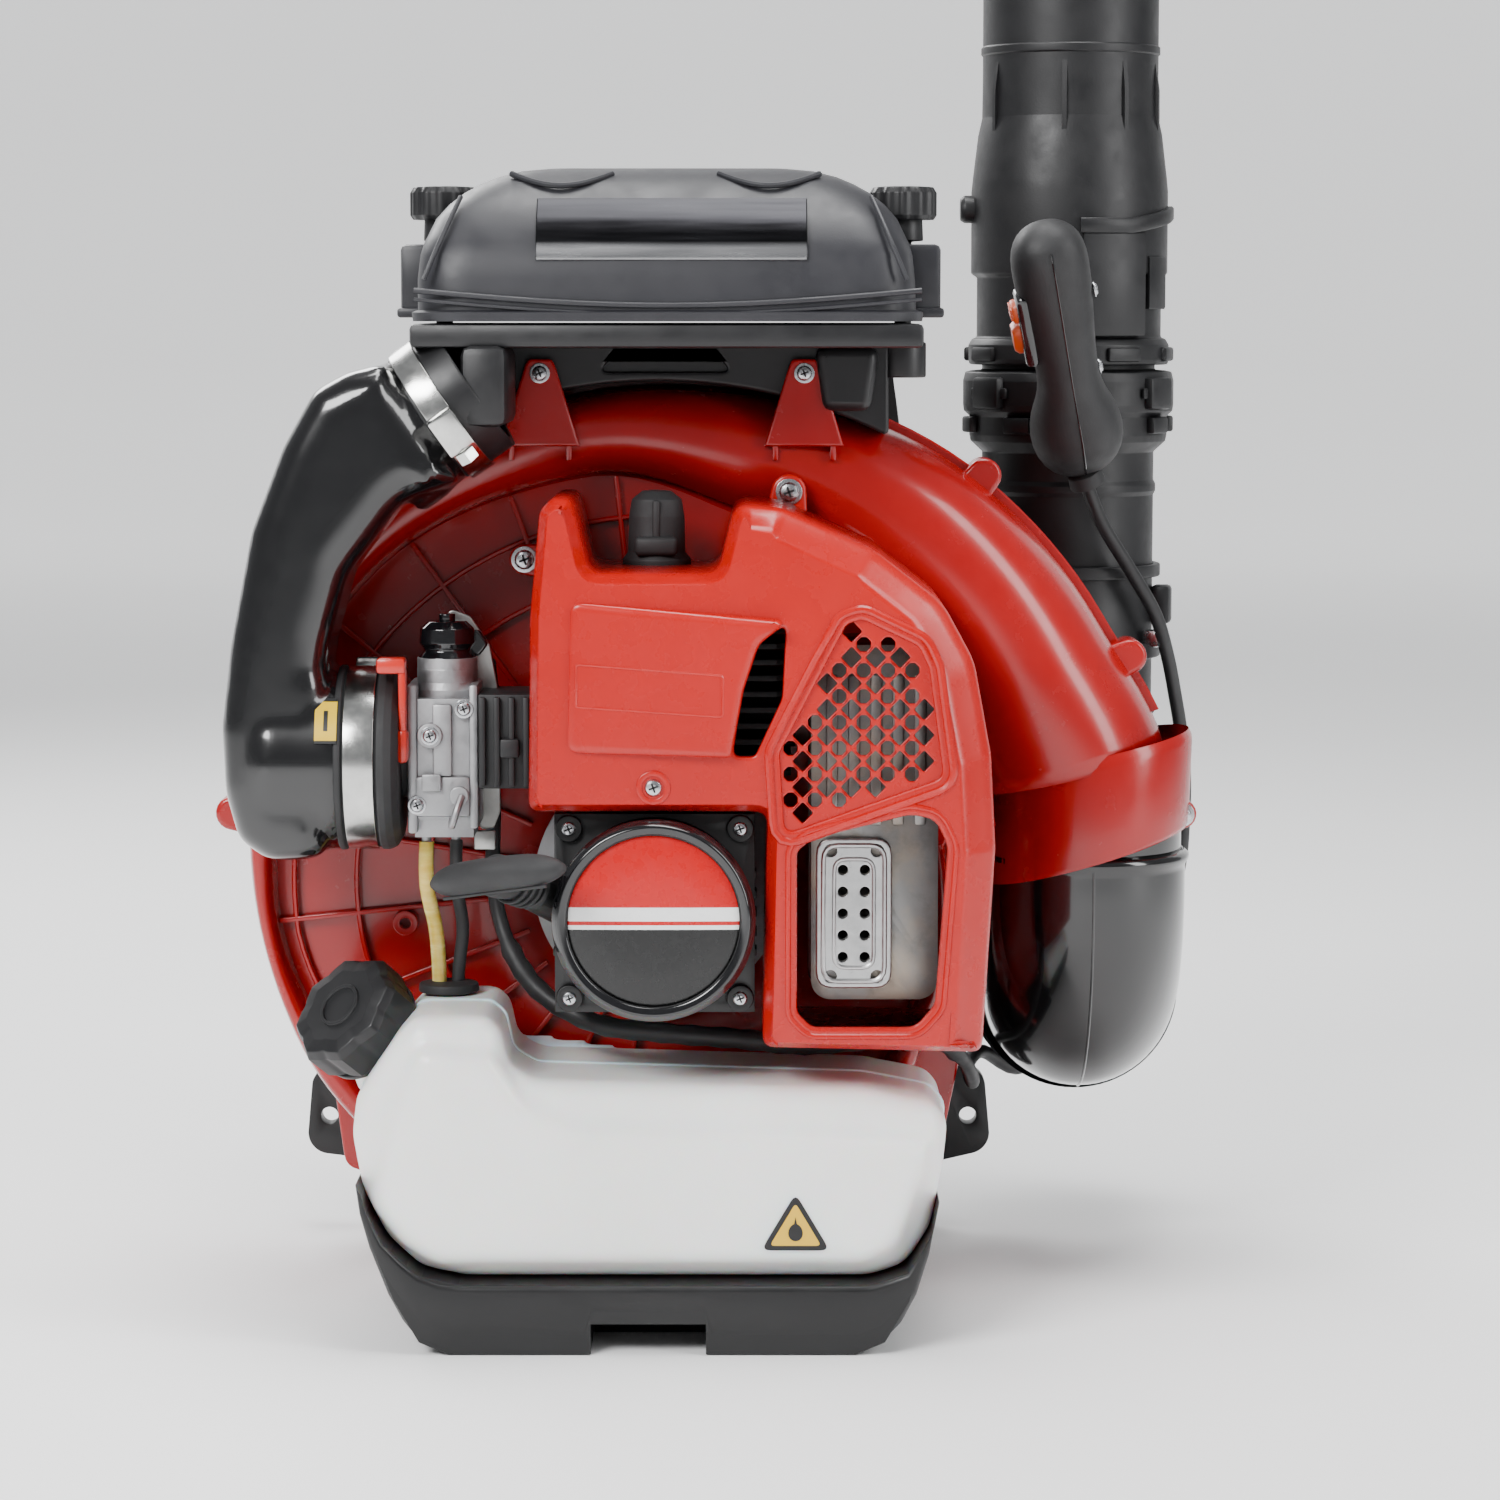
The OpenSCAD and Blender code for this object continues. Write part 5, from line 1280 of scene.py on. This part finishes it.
milky = Paint("milky_polythene", Subsurface_Weight=0.55, Subsurface_Scale=0.012, IOR=1.5, Coat_Weight=0.15)
clouds = milky.noise(12, detail=4)
skin_marks = milky.noise(160, detail=4)
milky.feed("Base Color", milky.mix(milky.ranged(clouds, 0.3, 0.7), (0.84, 0.85, 0.83), (0.93, 0.935, 0.92)))
milky.feed("Roughness", milky.ranged(skin_marks, 0.25, 0.75, 0.28, 0.42))
milky.feed("Normal", milky.bump(skin_marks, 0.00015, 0.4, milky.bump(clouds, 0.002, 0.2)))
tank_outline = rounded([
    (-122, 104), (-124, 88), (-120, 66), (-110, 46), (-96, 33), (-78, 29.2), (88, 29.2), (103, 34),
    (113, 50), (118, 74), (120, 94), (114, 101.5), (86, 107), (-50, 111), (-60, 117), (-63, 132),
    (-69, 137), (-98, 137), (-106, 128)],
    [12, 10, 30, 24, 16, 20, 20, 16, 16, 30, 10, 8, 14, 10, 8, 7, 5, 8, 10], 4)
tank_body = plate("tank_body", tank_outline, -110, -14, 10, back_edge=10)
belly = plate("belly", rounded([(-118, 62), (-104, 44), (-90, 35), (86, 35), (100, 42), (112, 72),
                                (114, 88), (-30, 94), (-52, 104), (-66, 125), (-97, 127), (-108, 100)],
                               [14, 14, 14, 14, 14, 16, 8, 14, 12, 8, 8, 14]), -116.5, -60, 9,
              back_edge=2)
cap_z = Vector((-0.55, -0.58, 0.60)).normalized()
cap_place = aimed((-118, -58, 122), cap_z)
neck = turned("neck", [(0, -16), (24, -16), (18.4, -8), (17, -4), (17, 9.6), (0, 9.6)], cap_place,
              48, 2, closed=False)
tank = melted(merged("tank_moulding", tank_body, belly, neck), 2.0, 7)
fit(tank, milky.material, "tank_white", "frame", "fuel_tank", sharp=180)
seam_line = [(p.x, -62, p.y) for p in tank_outline]
seam = sweep("tank_seam", seam_line, 0.8, 6, ring=True)
fit(seam, milky.material, "tank_white", "frame", "fuel_tank")

warning = Paint("warning_triangle", Coat_Weight=0.5)
dust = warning.noise(200, detail=3)
warning.feed("Base Color", warning.mix(warning.ranged(dust, 0.5, 0.8, 0, 0.2), (0.7, 0.42, 0.002),
                                       (0.6, 0.4, 0.03)))
warning.feed("Roughness", warning.ranged(dust, 0.2, 0.8, 0.3, 0.45))
ink = moulded("label_ink", (0.008, 0.008, 0.009), 0.4)
apex, low_left, low_right = (57.5, 66.5), (43.5, 43), (71.5, 43)
black_part = plate("label_border", rounded((low_left, low_right, apex), 2.2), -117.0, -115.8, 0.1)
fit(black_part, ink, "badge", "frame", "fuel_tank")
yellow_part = plate("label_field", rounded([(47, 45), (68, 45), (57.5, 62.7)], 1.2), -117.3, -116.4, 0.1)
fit(yellow_part, warning.material, "badge", "frame", "fuel_tank")
drop = []
for k in range(24):
    t = 2 * math.pi * k / 24
    belly_share = 0.5 + 0.5 * math.cos(min(t, 2 * math.pi - t) / 2) ** 0.5
    tip = 2.6 if abs(t - math.pi) < 0.2 else 0
    drop.append(Vector((57.5 + 3.2 * math.sin(t) * belly_share, 50.6 - 3.6 * math.cos(t) + tip)))
fit(plate("label_drop", drop, -117.6, -117.0, 0.1), ink, "badge", "frame", "fuel_tank")

def eight_sides(turn):
    """The cap's flats, with a shallow groove down the middle of each."""
    off = turn % (math.pi / 4) - math.pi / 8
    return 0.965 / max(abs(math.cos(off)), 0.9) - 0.03 * math.exp(-(off / 0.09) ** 2)


cap_profile = [(0, 4), (22.8, 4), (24.4, 6.5), (24.6, 20), (22.6, 23.4), (17, 24.4), (0, 23.8)]
cap_body = turned("cap_body", cap_profile, cap_place, 128, 1.2, closed=False, ripple=eight_sides)
cap_ring = turned("ring", [(20.6, 2.6), (23.4, 2.6), (23.8, 5.4), (20.6, 5.4)], cap_place, 64, 0.6)
mark = turned("mark", [(8, 24), (10, 24), (9.6, 25), (8.4, 25)], cap_place, 48, 0.2)
fit(merged("cap_moulding", cap_body, cap_ring, mark), base_black, "black_plastic", "cap", "fuel_cap",
    sharp=40)
softened("cap_gasket", 0.4, rubber, "rubber", "cap_seal")


# ---- Elbow
# A glossy black blow-moulded bend that plugs into the volute's outlet and swivels there; it carries the
# lower end of the hose and has a stop rib where it meets the outlet.

bend_black = moulded("bend_black", (0.004, 0.004, 0.0045), 0.16, 0.00001, 1500, 0.1, coat=0.7, flow_size=10)
def hoop(centre, out, size, count):
    """Points round a pipe whose section holds the X axis and the direction out."""
    across = Vector((1, 0, 0))
    return [Vector(centre) + size * (math.cos(2 * math.pi * k / count) * across
                                     + math.sin(2 * math.pi * k / count) * out) for k in range(count)]


bend_route = [(outlet_x, outlet_y, 188 - 2.2 * k) for k in range(8)]
bend_route += [(outlet_x, 100 - 55 * math.cos(math.radians(t)), 171 - 55 * math.sin(math.radians(t)))
               for t in range(3, 91, 3)]
bend_route += [(outlet_x, 100 + 2.6 * k, 116) for k in range(1, 6)]
loops = []
for i, here in enumerate(bend_route):
    ahead, behind = bend_route[min(i + 1, len(bend_route) - 1)], bend_route[max(i - 1, 0)]
    along = (Vector(ahead) - Vector(behind)).normalized()
    out = along.cross(Vector((1, 0, 0))).normalized()
    size = 43.5 + (1.6 if 1 <= i <= 2 else 0) - (0.8 if i == 0 else 0)
    loops.append(hoop(here, out, size, 64))
bend = loft("elbow_bend", loops, cap=False)
fit(thickened(bend, 3), bend_black, "black_gloss", "elbow", "elbow", sharp=50)
spigot = turned("elbow_spigot", [(38.8, 182), (41.6, 182), (41.6, 217), (38.8, 217)],
                Matrix.Translation((outlet_x, outlet_y, 0)), 64, 0.5)
line_one = sweep("parting", [(outlet_x, 45 - 43.6, 186)] + [
    (outlet_x, 100 - 98.6 * math.cos(math.radians(t)), 171 - 98.6 * math.sin(math.radians(t)))
                                                            for t in range(0, 91, 5)]
    + [(outlet_x, 112, 116 - 43.6)], 0.6, 6)
fit(merged("elbow_details", spigot, line_one), bend_black, "black_gloss", "elbow", "elbow")


# ---- Hose
# A black rubber bellows between the elbow and the pipe. It bends in the middle, so each half blends
# between its neighbours, with a stiffening ring at the middle and a steel band at the pipe.

hose_stations = [((outlet_x, 101.5 + 2 * k, 116), Vector((0, 0, 1)), 0.0) for k in range(7)]
for k in range(91):
    t = math.radians(270 + k)
    hose_stations.append(((outlet_x, 114 + 58 * math.cos(t), 174 + 58 * math.sin(t)),
                          Vector((0, -math.cos(t), -math.sin(t))), k / 90))
hose_stations += [((outlet_x, 172, 174 + 2 * k), Vector((0, -1, 0)), 1.0) for k in range(1, 17)]


def bellows(name, first, last):
    """The hose from one share of its bend to another, with a fold about every 7 mm."""
    loops, shares = [], []
    gone = 0.0
    for i, (here, out, share) in enumerate(hose_stations):
        if i:
            gone += (Vector(here) - Vector(hose_stations[i - 1][0])).length
        if not first <= share <= last:
            continue
        size = 46.4 + 2.4 * math.sin(2 * math.pi * gone / 7.2) if 0 < share < 1 else 46.6
        loops.append(hoop(here, out, size, 72))
        shares.append(share)
    piece = loft(name, loops, cap=False)
    weights = []
    for share in shares:
        t = min(1.0, max(0.0, (share - first) / (last - first)))
        weights += [t * t * (3 - 2 * t)] * 72
    return piece, weights


for name, node, first, last, low, high in (("hose_bellows_lower", "hose_lower", 0.0, 0.5, "elbow",
                                            "hose_middle"), ("hose_bellows_upper", "hose_upper", 0.5, 1.0,
                                                             "hose_middle", "pipe")):
    piece, weights = bellows(name, first, last)
    fit(piece, rubber, "rubber", None, node, sharp=180)
    start, end = ((outlet_x * 0.001, 0.114, 0.116),
                  (outlet_x * 0.001, 0.155, 0.133)) if low == "elbow" else (
        (outlet_x * 0.001, 0.155, 0.133), (outlet_x * 0.001, 0.172, 0.174))
    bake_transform(piece, low, high, start, end)
    for spot, weight in zip(piece.data.attributes["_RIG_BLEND"].data, weights):
        spot.value = weight

ring_loops = []
for k in range(9):
    t = math.radians(311 + k)
    out = Vector((0, -math.cos(t), -math.sin(t)))
    centre = Vector((outlet_x, 114 + 58 * math.cos(t), 174 + 58 * math.sin(t)))
    size = 50.4 - (0.9 if k in (0, 8) else 0)
    ring_loops.append(hoop(centre, out, size, 72))
fit(thickened(loft("hose_middle_ring", ring_loops, cap=False), 1.6),
    moulded("ring_black", (0.014, 0.014, 0.015), 0.4),
    "black_plastic", "hose_middle", "hose_ring")
clamp_place = Matrix.Translation((outlet_x, 172, 0))
clamp_turn = clamp_place @ Matrix.Rotation(math.radians(-60), 4, "Z")
hose_band = merged("hose_band", turned("band", [(46.6, 192.4), (48.8, 192.4), (48.8, 203.6), (46.6, 203.6)],
                                       clamp_place, 96, 0.3),
                   block("worm", (47.6, -9, 193), (54, 9, 203), 1.2, clamp_turn),
                   turned("screw", [(0, 0), (4.4, 0), (4.4, 5), (3.4, 6), (0, 6)],
                          clamp_turn @ Matrix.Translation((51.5, 9,
                                                           198)) @ Matrix.Rotation(-math.pi / 2, 4, "X"),
                          6, 0.3, closed=False))
fit(hose_band, banded, "steel", "pipe", "hose_clamps")


# ---- Lower pipe
# A dull black polypropylene pipe with two moulded collars that lock the nozzle on, a bracket for the grip
# and a clip that holds the cable.

pipe_black = moulded("pipe_black", (0.006, 0.006, 0.007), 0.46, 0.00005, 1100, 0.25)
pipe_place = Matrix.Translation((outlet_x, 172, 0))
lower = turned("pipe", [(37.6, 178), (40, 178), (40, 262), (43.8, 262.6), (44, 269.4), (40, 270),
                        (40, 338), (41, 340), (41, 343),
                        (40, 345), (40, 358), (45.4, 363), (46, 366), (46, 374.5), (48.6, 377),
                        (49, 380), (49, 391), (48, 395), (45.4, 395.6),
                        (40.2, 396), (40.2, 432), (37.6, 432)], pipe_place, 96, 0.9)
lower_bits = []
for k in range(8):
    turn = pipe_place @ Matrix.Rotation(2 * math.pi * k / 8 + 0.2, 4, "Z")
    lower_bits.append(block("key", (45, -7, 367), (49.4, 7, 374.5), 1.2, turn))
for angle in (-38, -142, 90):
    turn = pipe_place @ Matrix.Rotation(math.radians(angle), 4, "Z")
    lower_bits.append(block("boss", (44, -9, 378), (52.4, 9, 393), 2.2, turn))
    lower_bits.append(block("slot", (48, -12, 383), (50, 12, 388), 0.8, turn))
lower_bits.append(block("bracket", (175.5, 114, 366), (199.5, 132, 393), 2))
clip = turned("clip", [(40.2, 300), (43.6, 300), (43.6, 306), (40.2, 306)], pipe_place, 96, 1)
rest_clip = block("rest", (40, -6, 278), (49, 6, 296), 2,
                  pipe_place @ Matrix.Rotation(math.radians(-12), 4, "Z"))
fit(merged("pipe_lower", lower, *lower_bits, clip, rest_clip), pipe_black, "black_plastic", "pipe",
    "lower_pipe", sharp=40)
tie = turned("cable_tie", [(40.1, 236), (41.6, 236), (41.6, 240.5), (40.1, 240.5)], pipe_place, 96, 0.4)
fit(tie, rubber, "rubber", "pipe", "lower_pipe")
silver_clip = block("clip", (41, -6, 268), (49, 3, 276), 1.5,
                    pipe_place @ Matrix.Rotation(math.radians(-28), 4, "Z"))
silver_clip.name = "cable_clip"
fit(silver_clip, zinc, "steel", "pipe", "lower_pipe")


# ---- Nozzle
# The nozzle twists off the pipe: a plain sleeve with a raised band and a panel, a cone with fins
# above it, and a long tube that narrows to its mouth.

nozzle_skin = turned("tube", [(37.8, 398.4), (46.2, 398.4), (46.6, 401), (46.6, 407.5), (45, 410.2),
                              (42.8, 411), (42.8, 438.5), (45.6, 440.5),
                              (45.6, 478), (45, 484), (42.6, 504), (40.8, 512), (40.6, 528), (40.6, 618),
                              (40.2, 624), (33.4, 838), (33, 842),
                              (33, 878), (32.4, 880), (30.6, 880), (30.6, 840), (38.2, 620), (38.2, 440)],
                     pipe_place, 96, 1.4)
extras = []
for angle in (-150, -98, -57, -20, 30, 80, 130):
    turn = pipe_place @ Matrix.Rotation(math.radians(angle), 4, "Z")
    fin = [Vector((39, 0, 499)), Vector((42.2, 0, 501)), Vector((42.4, 0, 512)), Vector((42.3, 0, 524)),
           Vector((40.4, 0, 538)), Vector((39, 0, 538))]
    extras.append(loft("fin", [[turn @ (p + Vector((0, s, 0))) for p in fin] for s in (-1.1, 1.1)]))
for k in range(8):
    turn = pipe_place @ Matrix.Rotation(2 * math.pi * k / 8 + 0.5, 4, "Z")
    extras.append(block("tooth", (44, -9, 400), (48.2, 9, 406.5), 1.3, turn))
raised = []
for k in range(46):
    angle = math.radians(-88 + 4 * k)
    lift = 0.0 if k < 8 else min(6.0, (k - 8) * 0.5)
    out = Vector((math.cos(angle), math.sin(angle), 0))
    raised.append([Vector((outlet_x, 172, 462 + lift)) + out * r + Vector((0, 0, z))
                   for r, z in ((44, -3.4), (47.6, -3.4), (48.4, -2.4), (48.4, 2.4), (47.6, 3.4),
                                (44, 3.4))])
extras.append(loft("band", raised))
for z0, z1, angle0, angle1, out_r in ((412, 459, -86, -46, 46.4), (424, 448, -42, -22, 46.2)):
    panel = []
    for k in range(9):
        angle = math.radians(angle0 + (angle1 - angle0) * k / 8)
        out = Vector((math.cos(angle), math.sin(angle), 0))
        panel.append([Vector((outlet_x, 172, 0)) + out * r + Vector((0, 0, z))
                      for r, z in ((41, z0), (out_r, z0), (out_r + 0.5, z0 + 1), (out_r + 0.5, z1 - 1),
                                   (out_r, z1), (41, z1))])
    extras.append(loft("panel", panel))
extras.append(turned("lug", [(0, -51), (5.2, -51), (6.4, -49), (6.4, -43), (0, -43)],
                     Matrix.Translation((outlet_x, 168, 470)) @ Matrix.Rotation(math.pi / 2, 4, "Y"),
                     24, 0.8, closed=False))
extras.append(turned("ring", [(40.4, 540), (41.4, 541), (41.4, 544), (40.4, 545)], pipe_place, 96, 0.4))
fit(merged("nozzle_tube", nozzle_skin, *extras), pipe_black, "black_plastic", "nozzle", "nozzle", sharp=40)


# ---- Grip
# A hand grip in two soft-touch halves, screwed to the pipe's bracket. It holds the throttle trigger at
# the back and, on its left, an orange stop button over an orange cruise lever in a black slot.

grip_place = (Matrix.Translation((186, 104, 372)) @ Matrix.Rotation(math.radians(-11.6), 4, "Y")
              @ Matrix.Rotation(math.radians(26), 4, "X"))
grip_black = moulded("grip_black", (0.014, 0.014, 0.015), 0.55, 0.00009, 1000, 0.15)
grip_stations = ((-27, 3, 3, 5), (-25, 9, 9, 5), (-20, 15.5, 15, 4), (-12, 20, 19.5, 2),
                 (-2, 21.6, 21, 0.5), (8, 19.6, 20, 0), (16, 16, 17, -1.5), (24, 14, 15.4, -2),
                 (34, 13.8, 15.2, -2), (48, 14.8, 16.2, -1), (62, 16.4, 18, 0.5), (76, 17.4, 18, 1),
                 (86, 17.2, 17, 0.6), (93, 15.4, 14.6, 0), (98, 11.6, 10.8, 0), (101, 6, 5.6, 0),
                 (101.9, 2, 2, 0))
grip_loops = []
for h, wide, deep, back in grip_stations:
    ring_points = []
    for k in range(48):
        t = 2 * math.pi * k / 48
        c, s = math.cos(t), math.sin(t)
        ring_points.append(grip_place @ Vector((wide * math.copysign(abs(c) ** 0.9, c),
                                                back + deep * math.copysign(abs(s) ** 0.9, s), h)))
    grip_loops.append(ring_points)
grip = loft("grip_halves", grip_loops)
refined(grip)
fit(grip, grip_black, "rubber", "pipe", "handle_shells", sharp=180)
parting = [grip_place @ Vector((0, back - deep - 0.05, h)) for h, wide, deep, back in grip_stations[2:14]]
grip_seam = sweep("seam", smoothed(parting, 4), 0.45, 6)
slot_plate = block("slot", (-18.2, -11, 38), (-12, 5, 72), 2.2, grip_place)
fit(merged("grip_trim", grip_seam, slot_plate), gloss_black, "black_gloss", "pipe", "handle_shells")
tape = turned("collar", [(7, -1), (8.4, -1), (7.6, 5), (5, 6), (4, 5)],
              aimed((192, 112, 346), (-0.35, -0.35, 0.9)), 32, 0.5)
tape.name = "cable_gland"
fit(tape, rubber, "rubber", "pipe", "handle_shells")
screws("grip_screws", [grip_place @ Vector((17.2, -2, 66)), grip_place @ Vector((14.2, -2, 28))], 2.8,
       "pipe", "handle_shells",
       direction=grip_place.to_3x3() @ Vector((1, 0, 0)))
squeeze = []
for x, shrink in ((-5.6, 1.2), (-5, 0.3), (-3, 0), (3, 0), (5, 0.3), (5.6, 1.2)):
    profile = rounded([(7, 90), (12, 91.5), (17.5, 85), (22.5 - shrink, 74), (25.5 - shrink, 62),
                       (29 - shrink, 47), (26 - shrink, 42.5), (20, 43.5), (18, 60), (12, 76)],
                      [3, 4, 6, 6, 6, 4, 3, 3, 8, 8], 3)
    squeeze.append([grip_place @ Vector((x, p.x, p.y)) for p in profile])
lever = loft("trigger_lever", squeeze)
pin = turned("pin", [(0, -9), (2.4, -9), (2.4, 9), (0, 9)],
             grip_place @ Matrix.Translation((0, 9, 86)) @ Matrix.Rotation(math.pi / 2, 4, "Y"), 20,
             0.2, closed=False)
fit(merged("trigger_piece", lever, pin), gloss_black, "black_gloss", "trigger", "trigger", sharp=40)
button = block("button", (-20.6, -5.5, 58), (-14, 5, 66.5), 1.6, grip_place)
ridges = [block("ridge", (-21.2, -4.5, 59.8 + 2.2 * k), (-19.8, 4, 60.9 + 2.2 * k), 0.3, grip_place)
          for k in range(3)]
fit(merged("stop_button", button, *ridges), orange, "orange_plastic", "stop_switch", "stop_switch")
cruise_loops = []
for x, grow in ((-12.8, 0), (-17, 0), (-20, -0.4), (-21.6, -1.6)):
    outline = rounded([(-5.2, 56 + grow), (6.2, 56 + grow), (6.6 + grow, 43 - grow),
                       (-4 - grow, 41.4 - grow)], 3, 4)
    cruise_loops.append([grip_place @ Vector((x, p.x, p.y)) for p in outline])
fit(loft("cruise_tab", cruise_loops), orange, "orange_plastic", "cruise_lever", "cruise_lever", sharp=45)


# ---- Throttle cable
# A black sheathed cable from the grip down the pipe, past the bend and round the engine to the throttle
# drum. Each stretch rides or blends with the parts it is clipped to.

cable_route = [
    (192, 112, 344), (200, 120, 326), (214, 128, 304), (226, 138, 284), (233, 150, 264),
    (238, 162, 244), (242, 170, 224), (244, 174, 204), (244, 176, 184), (243, 182, 162),
    (238, 192, 138), (226, 198, 114), (206, 190, 92), (184, 172, 76), (164, 148, 70), (147, 125, 82),
    (139, 98, 82), (138, 72, 81), (138, 48, 82), (136, 24, 90), (130, 2, 102), (116, -16, 114),
    (90, -38, 116), (62, -56, 117), (34, -64, 121), (2, -66, 124), (-26, -60, 127), (-50, -48, 139),
    (-64, -34, 158), (-70, -26, 182), (-70, -22, 210), (-70, -24, 240), (-70, -25, 260),
    (-71, -30, 272), (-71, -33, 276)]
cable_spots = smoothed(cable_route, 5)
sheath = moulded("cable_sheath", (0.012, 0.012, 0.013), 0.5, 0.00004, 700, 0.1)
for name, first, last, low, high in (("cable_on_pipe", 0, 40, "pipe", None),
                                     ("cable_upper_bend", 40, 55, "pipe", "hose_middle"),
                                     ("cable_lower_bend", 55, 68, "hose_middle", "elbow"),
                                     ("cable_to_frame", 68, 80, "elbow", "frame"),
                                     ("cable_on_frame", 80, len(cable_spots) - 1, "frame", None)):
    part = cable_spots[first:last + 1]
    loom = first >= 80
    sizes = [(4.0 + 0.5 * (i % 2) if loom and 20 < i < 60 else 3.2) for i in range(len(part))]
    stretch = sweep(name, part, sizes, 14)
    if high is None:
        fit(stretch, sheath, "rubber", low, "throttle_cable", sharp=60)
        continue
    fit(stretch, sheath, "rubber", None, "throttle_cable", sharp=60)
    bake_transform(stretch, low, high, tuple(part[0] * 0.001), tuple(part[-1] * 0.001))
    for i, spot in enumerate(stretch.data.attributes["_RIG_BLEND"].data):
        t = (i // 14) / (len(part) - 1)
        spot.value = t * t * (3 - 2 * t)
loom_clip = turned("loom_clip_ring", [(4.6, -3), (6.2, -3), (6.2, 3), (4.6, 3)],
                   aimed((108, -23, 115), (-0.8, -0.5, 0)), 32, 0.4)
fit(loom_clip, metal("clip_grey", (0.4, 0.4, 0.4), 0.4), "steel", "frame", "throttle_cable")


# ---- Setting
# A pale plain floor runs up into a pale backdrop far behind, which glows a little so that it stays light.
# Four soft lamps stand round the machine, with the camera in front of the engine.

floor_mesh = []
for y, z in [(-6000, 0), (5200, 0), (6000, 60), (6700, 300), (7200, 800), (7500, 1500), (7600, 7000)]:
    floor_mesh += [(-9000, y, z - 0.4), (9000, y, z - 0.4)]
floor = new_piece("studio_floor", floor_mesh, [(2 * i, 2 * i + 1, 2 * i + 3, 2 * i + 2) for i in range(6)])
floor_paint = Paint("floor_paint", Roughness=0.75, Emission_Strength=1.0)
floor_paint.feed("Base Color", floor_paint.mix(floor_paint.ranged(floor_paint.noise(2), 0.3, 0.7),
                                               (0.93, 0.93, 0.93), (0.96, 0.96, 0.96)))
glow = floor_paint.ranged(floor_paint.along("Y"), 0.8, 5.5, 0, 1)
floor_paint.feed("Emission Color", floor_paint.mix(glow, (0, 0, 0), (0.62, 0.62, 0.62)))
floor.data.materials.append(floor_paint.material)
floor.data.shade_smooth()

world = bpy.data.worlds.new("studio")
bpy.context.scene.world = world
world.use_nodes = True
world.node_tree.nodes["Background"].inputs["Color"].default_value = (0.95, 0.97, 1.0, 1)
world.node_tree.nodes["Background"].inputs["Strength"].default_value = 0.32
for name, at, aim, wide, high, power in (("key", (-1.1, -1.6, 1.5), (0, 0, 0.25), 1.1, 0.7, 62),
                                         ("side", (1.7, -0.9, 1.0), (0.1, 0, 0.25), 0.5, 1.6, 26),
                                         ("top", (0.1, 0.1, 2.2), (0, 0, 0.2), 1.6, 0.8, 50),
                                         ("back", (-0.9, 1.6, 1.5), (0, 0, 0.3), 1.2, 0.8, 30)):
    lamp = bpy.data.lights.new(name, "AREA")
    lamp.shape = "RECTANGLE"
    lamp.size, lamp.size_y = wide, high
    lamp.energy = power
    light = bpy.data.objects.new(name, lamp)
    bpy.context.scene.collection.objects.link(light)
    light.location = at
    light.rotation_euler = (Vector(aim) - Vector(at)).to_track_quat("-Z", "Y").to_euler()

lens = bpy.data.cameras.new("camera")
lens.sensor_width = 36
lens.lens = 100.5
camera = bpy.data.objects.new("camera", lens)
bpy.context.scene.collection.objects.link(camera)
lift = math.radians(6)
target = Vector((0.039, 0, 0.2355))
camera.location = target + 1.8 * Vector((0, -math.cos(lift), math.sin(lift)))
camera.rotation_euler = (target - camera.location).to_track_quat("-Z", "Y").to_euler()
bpy.context.scene.camera = camera
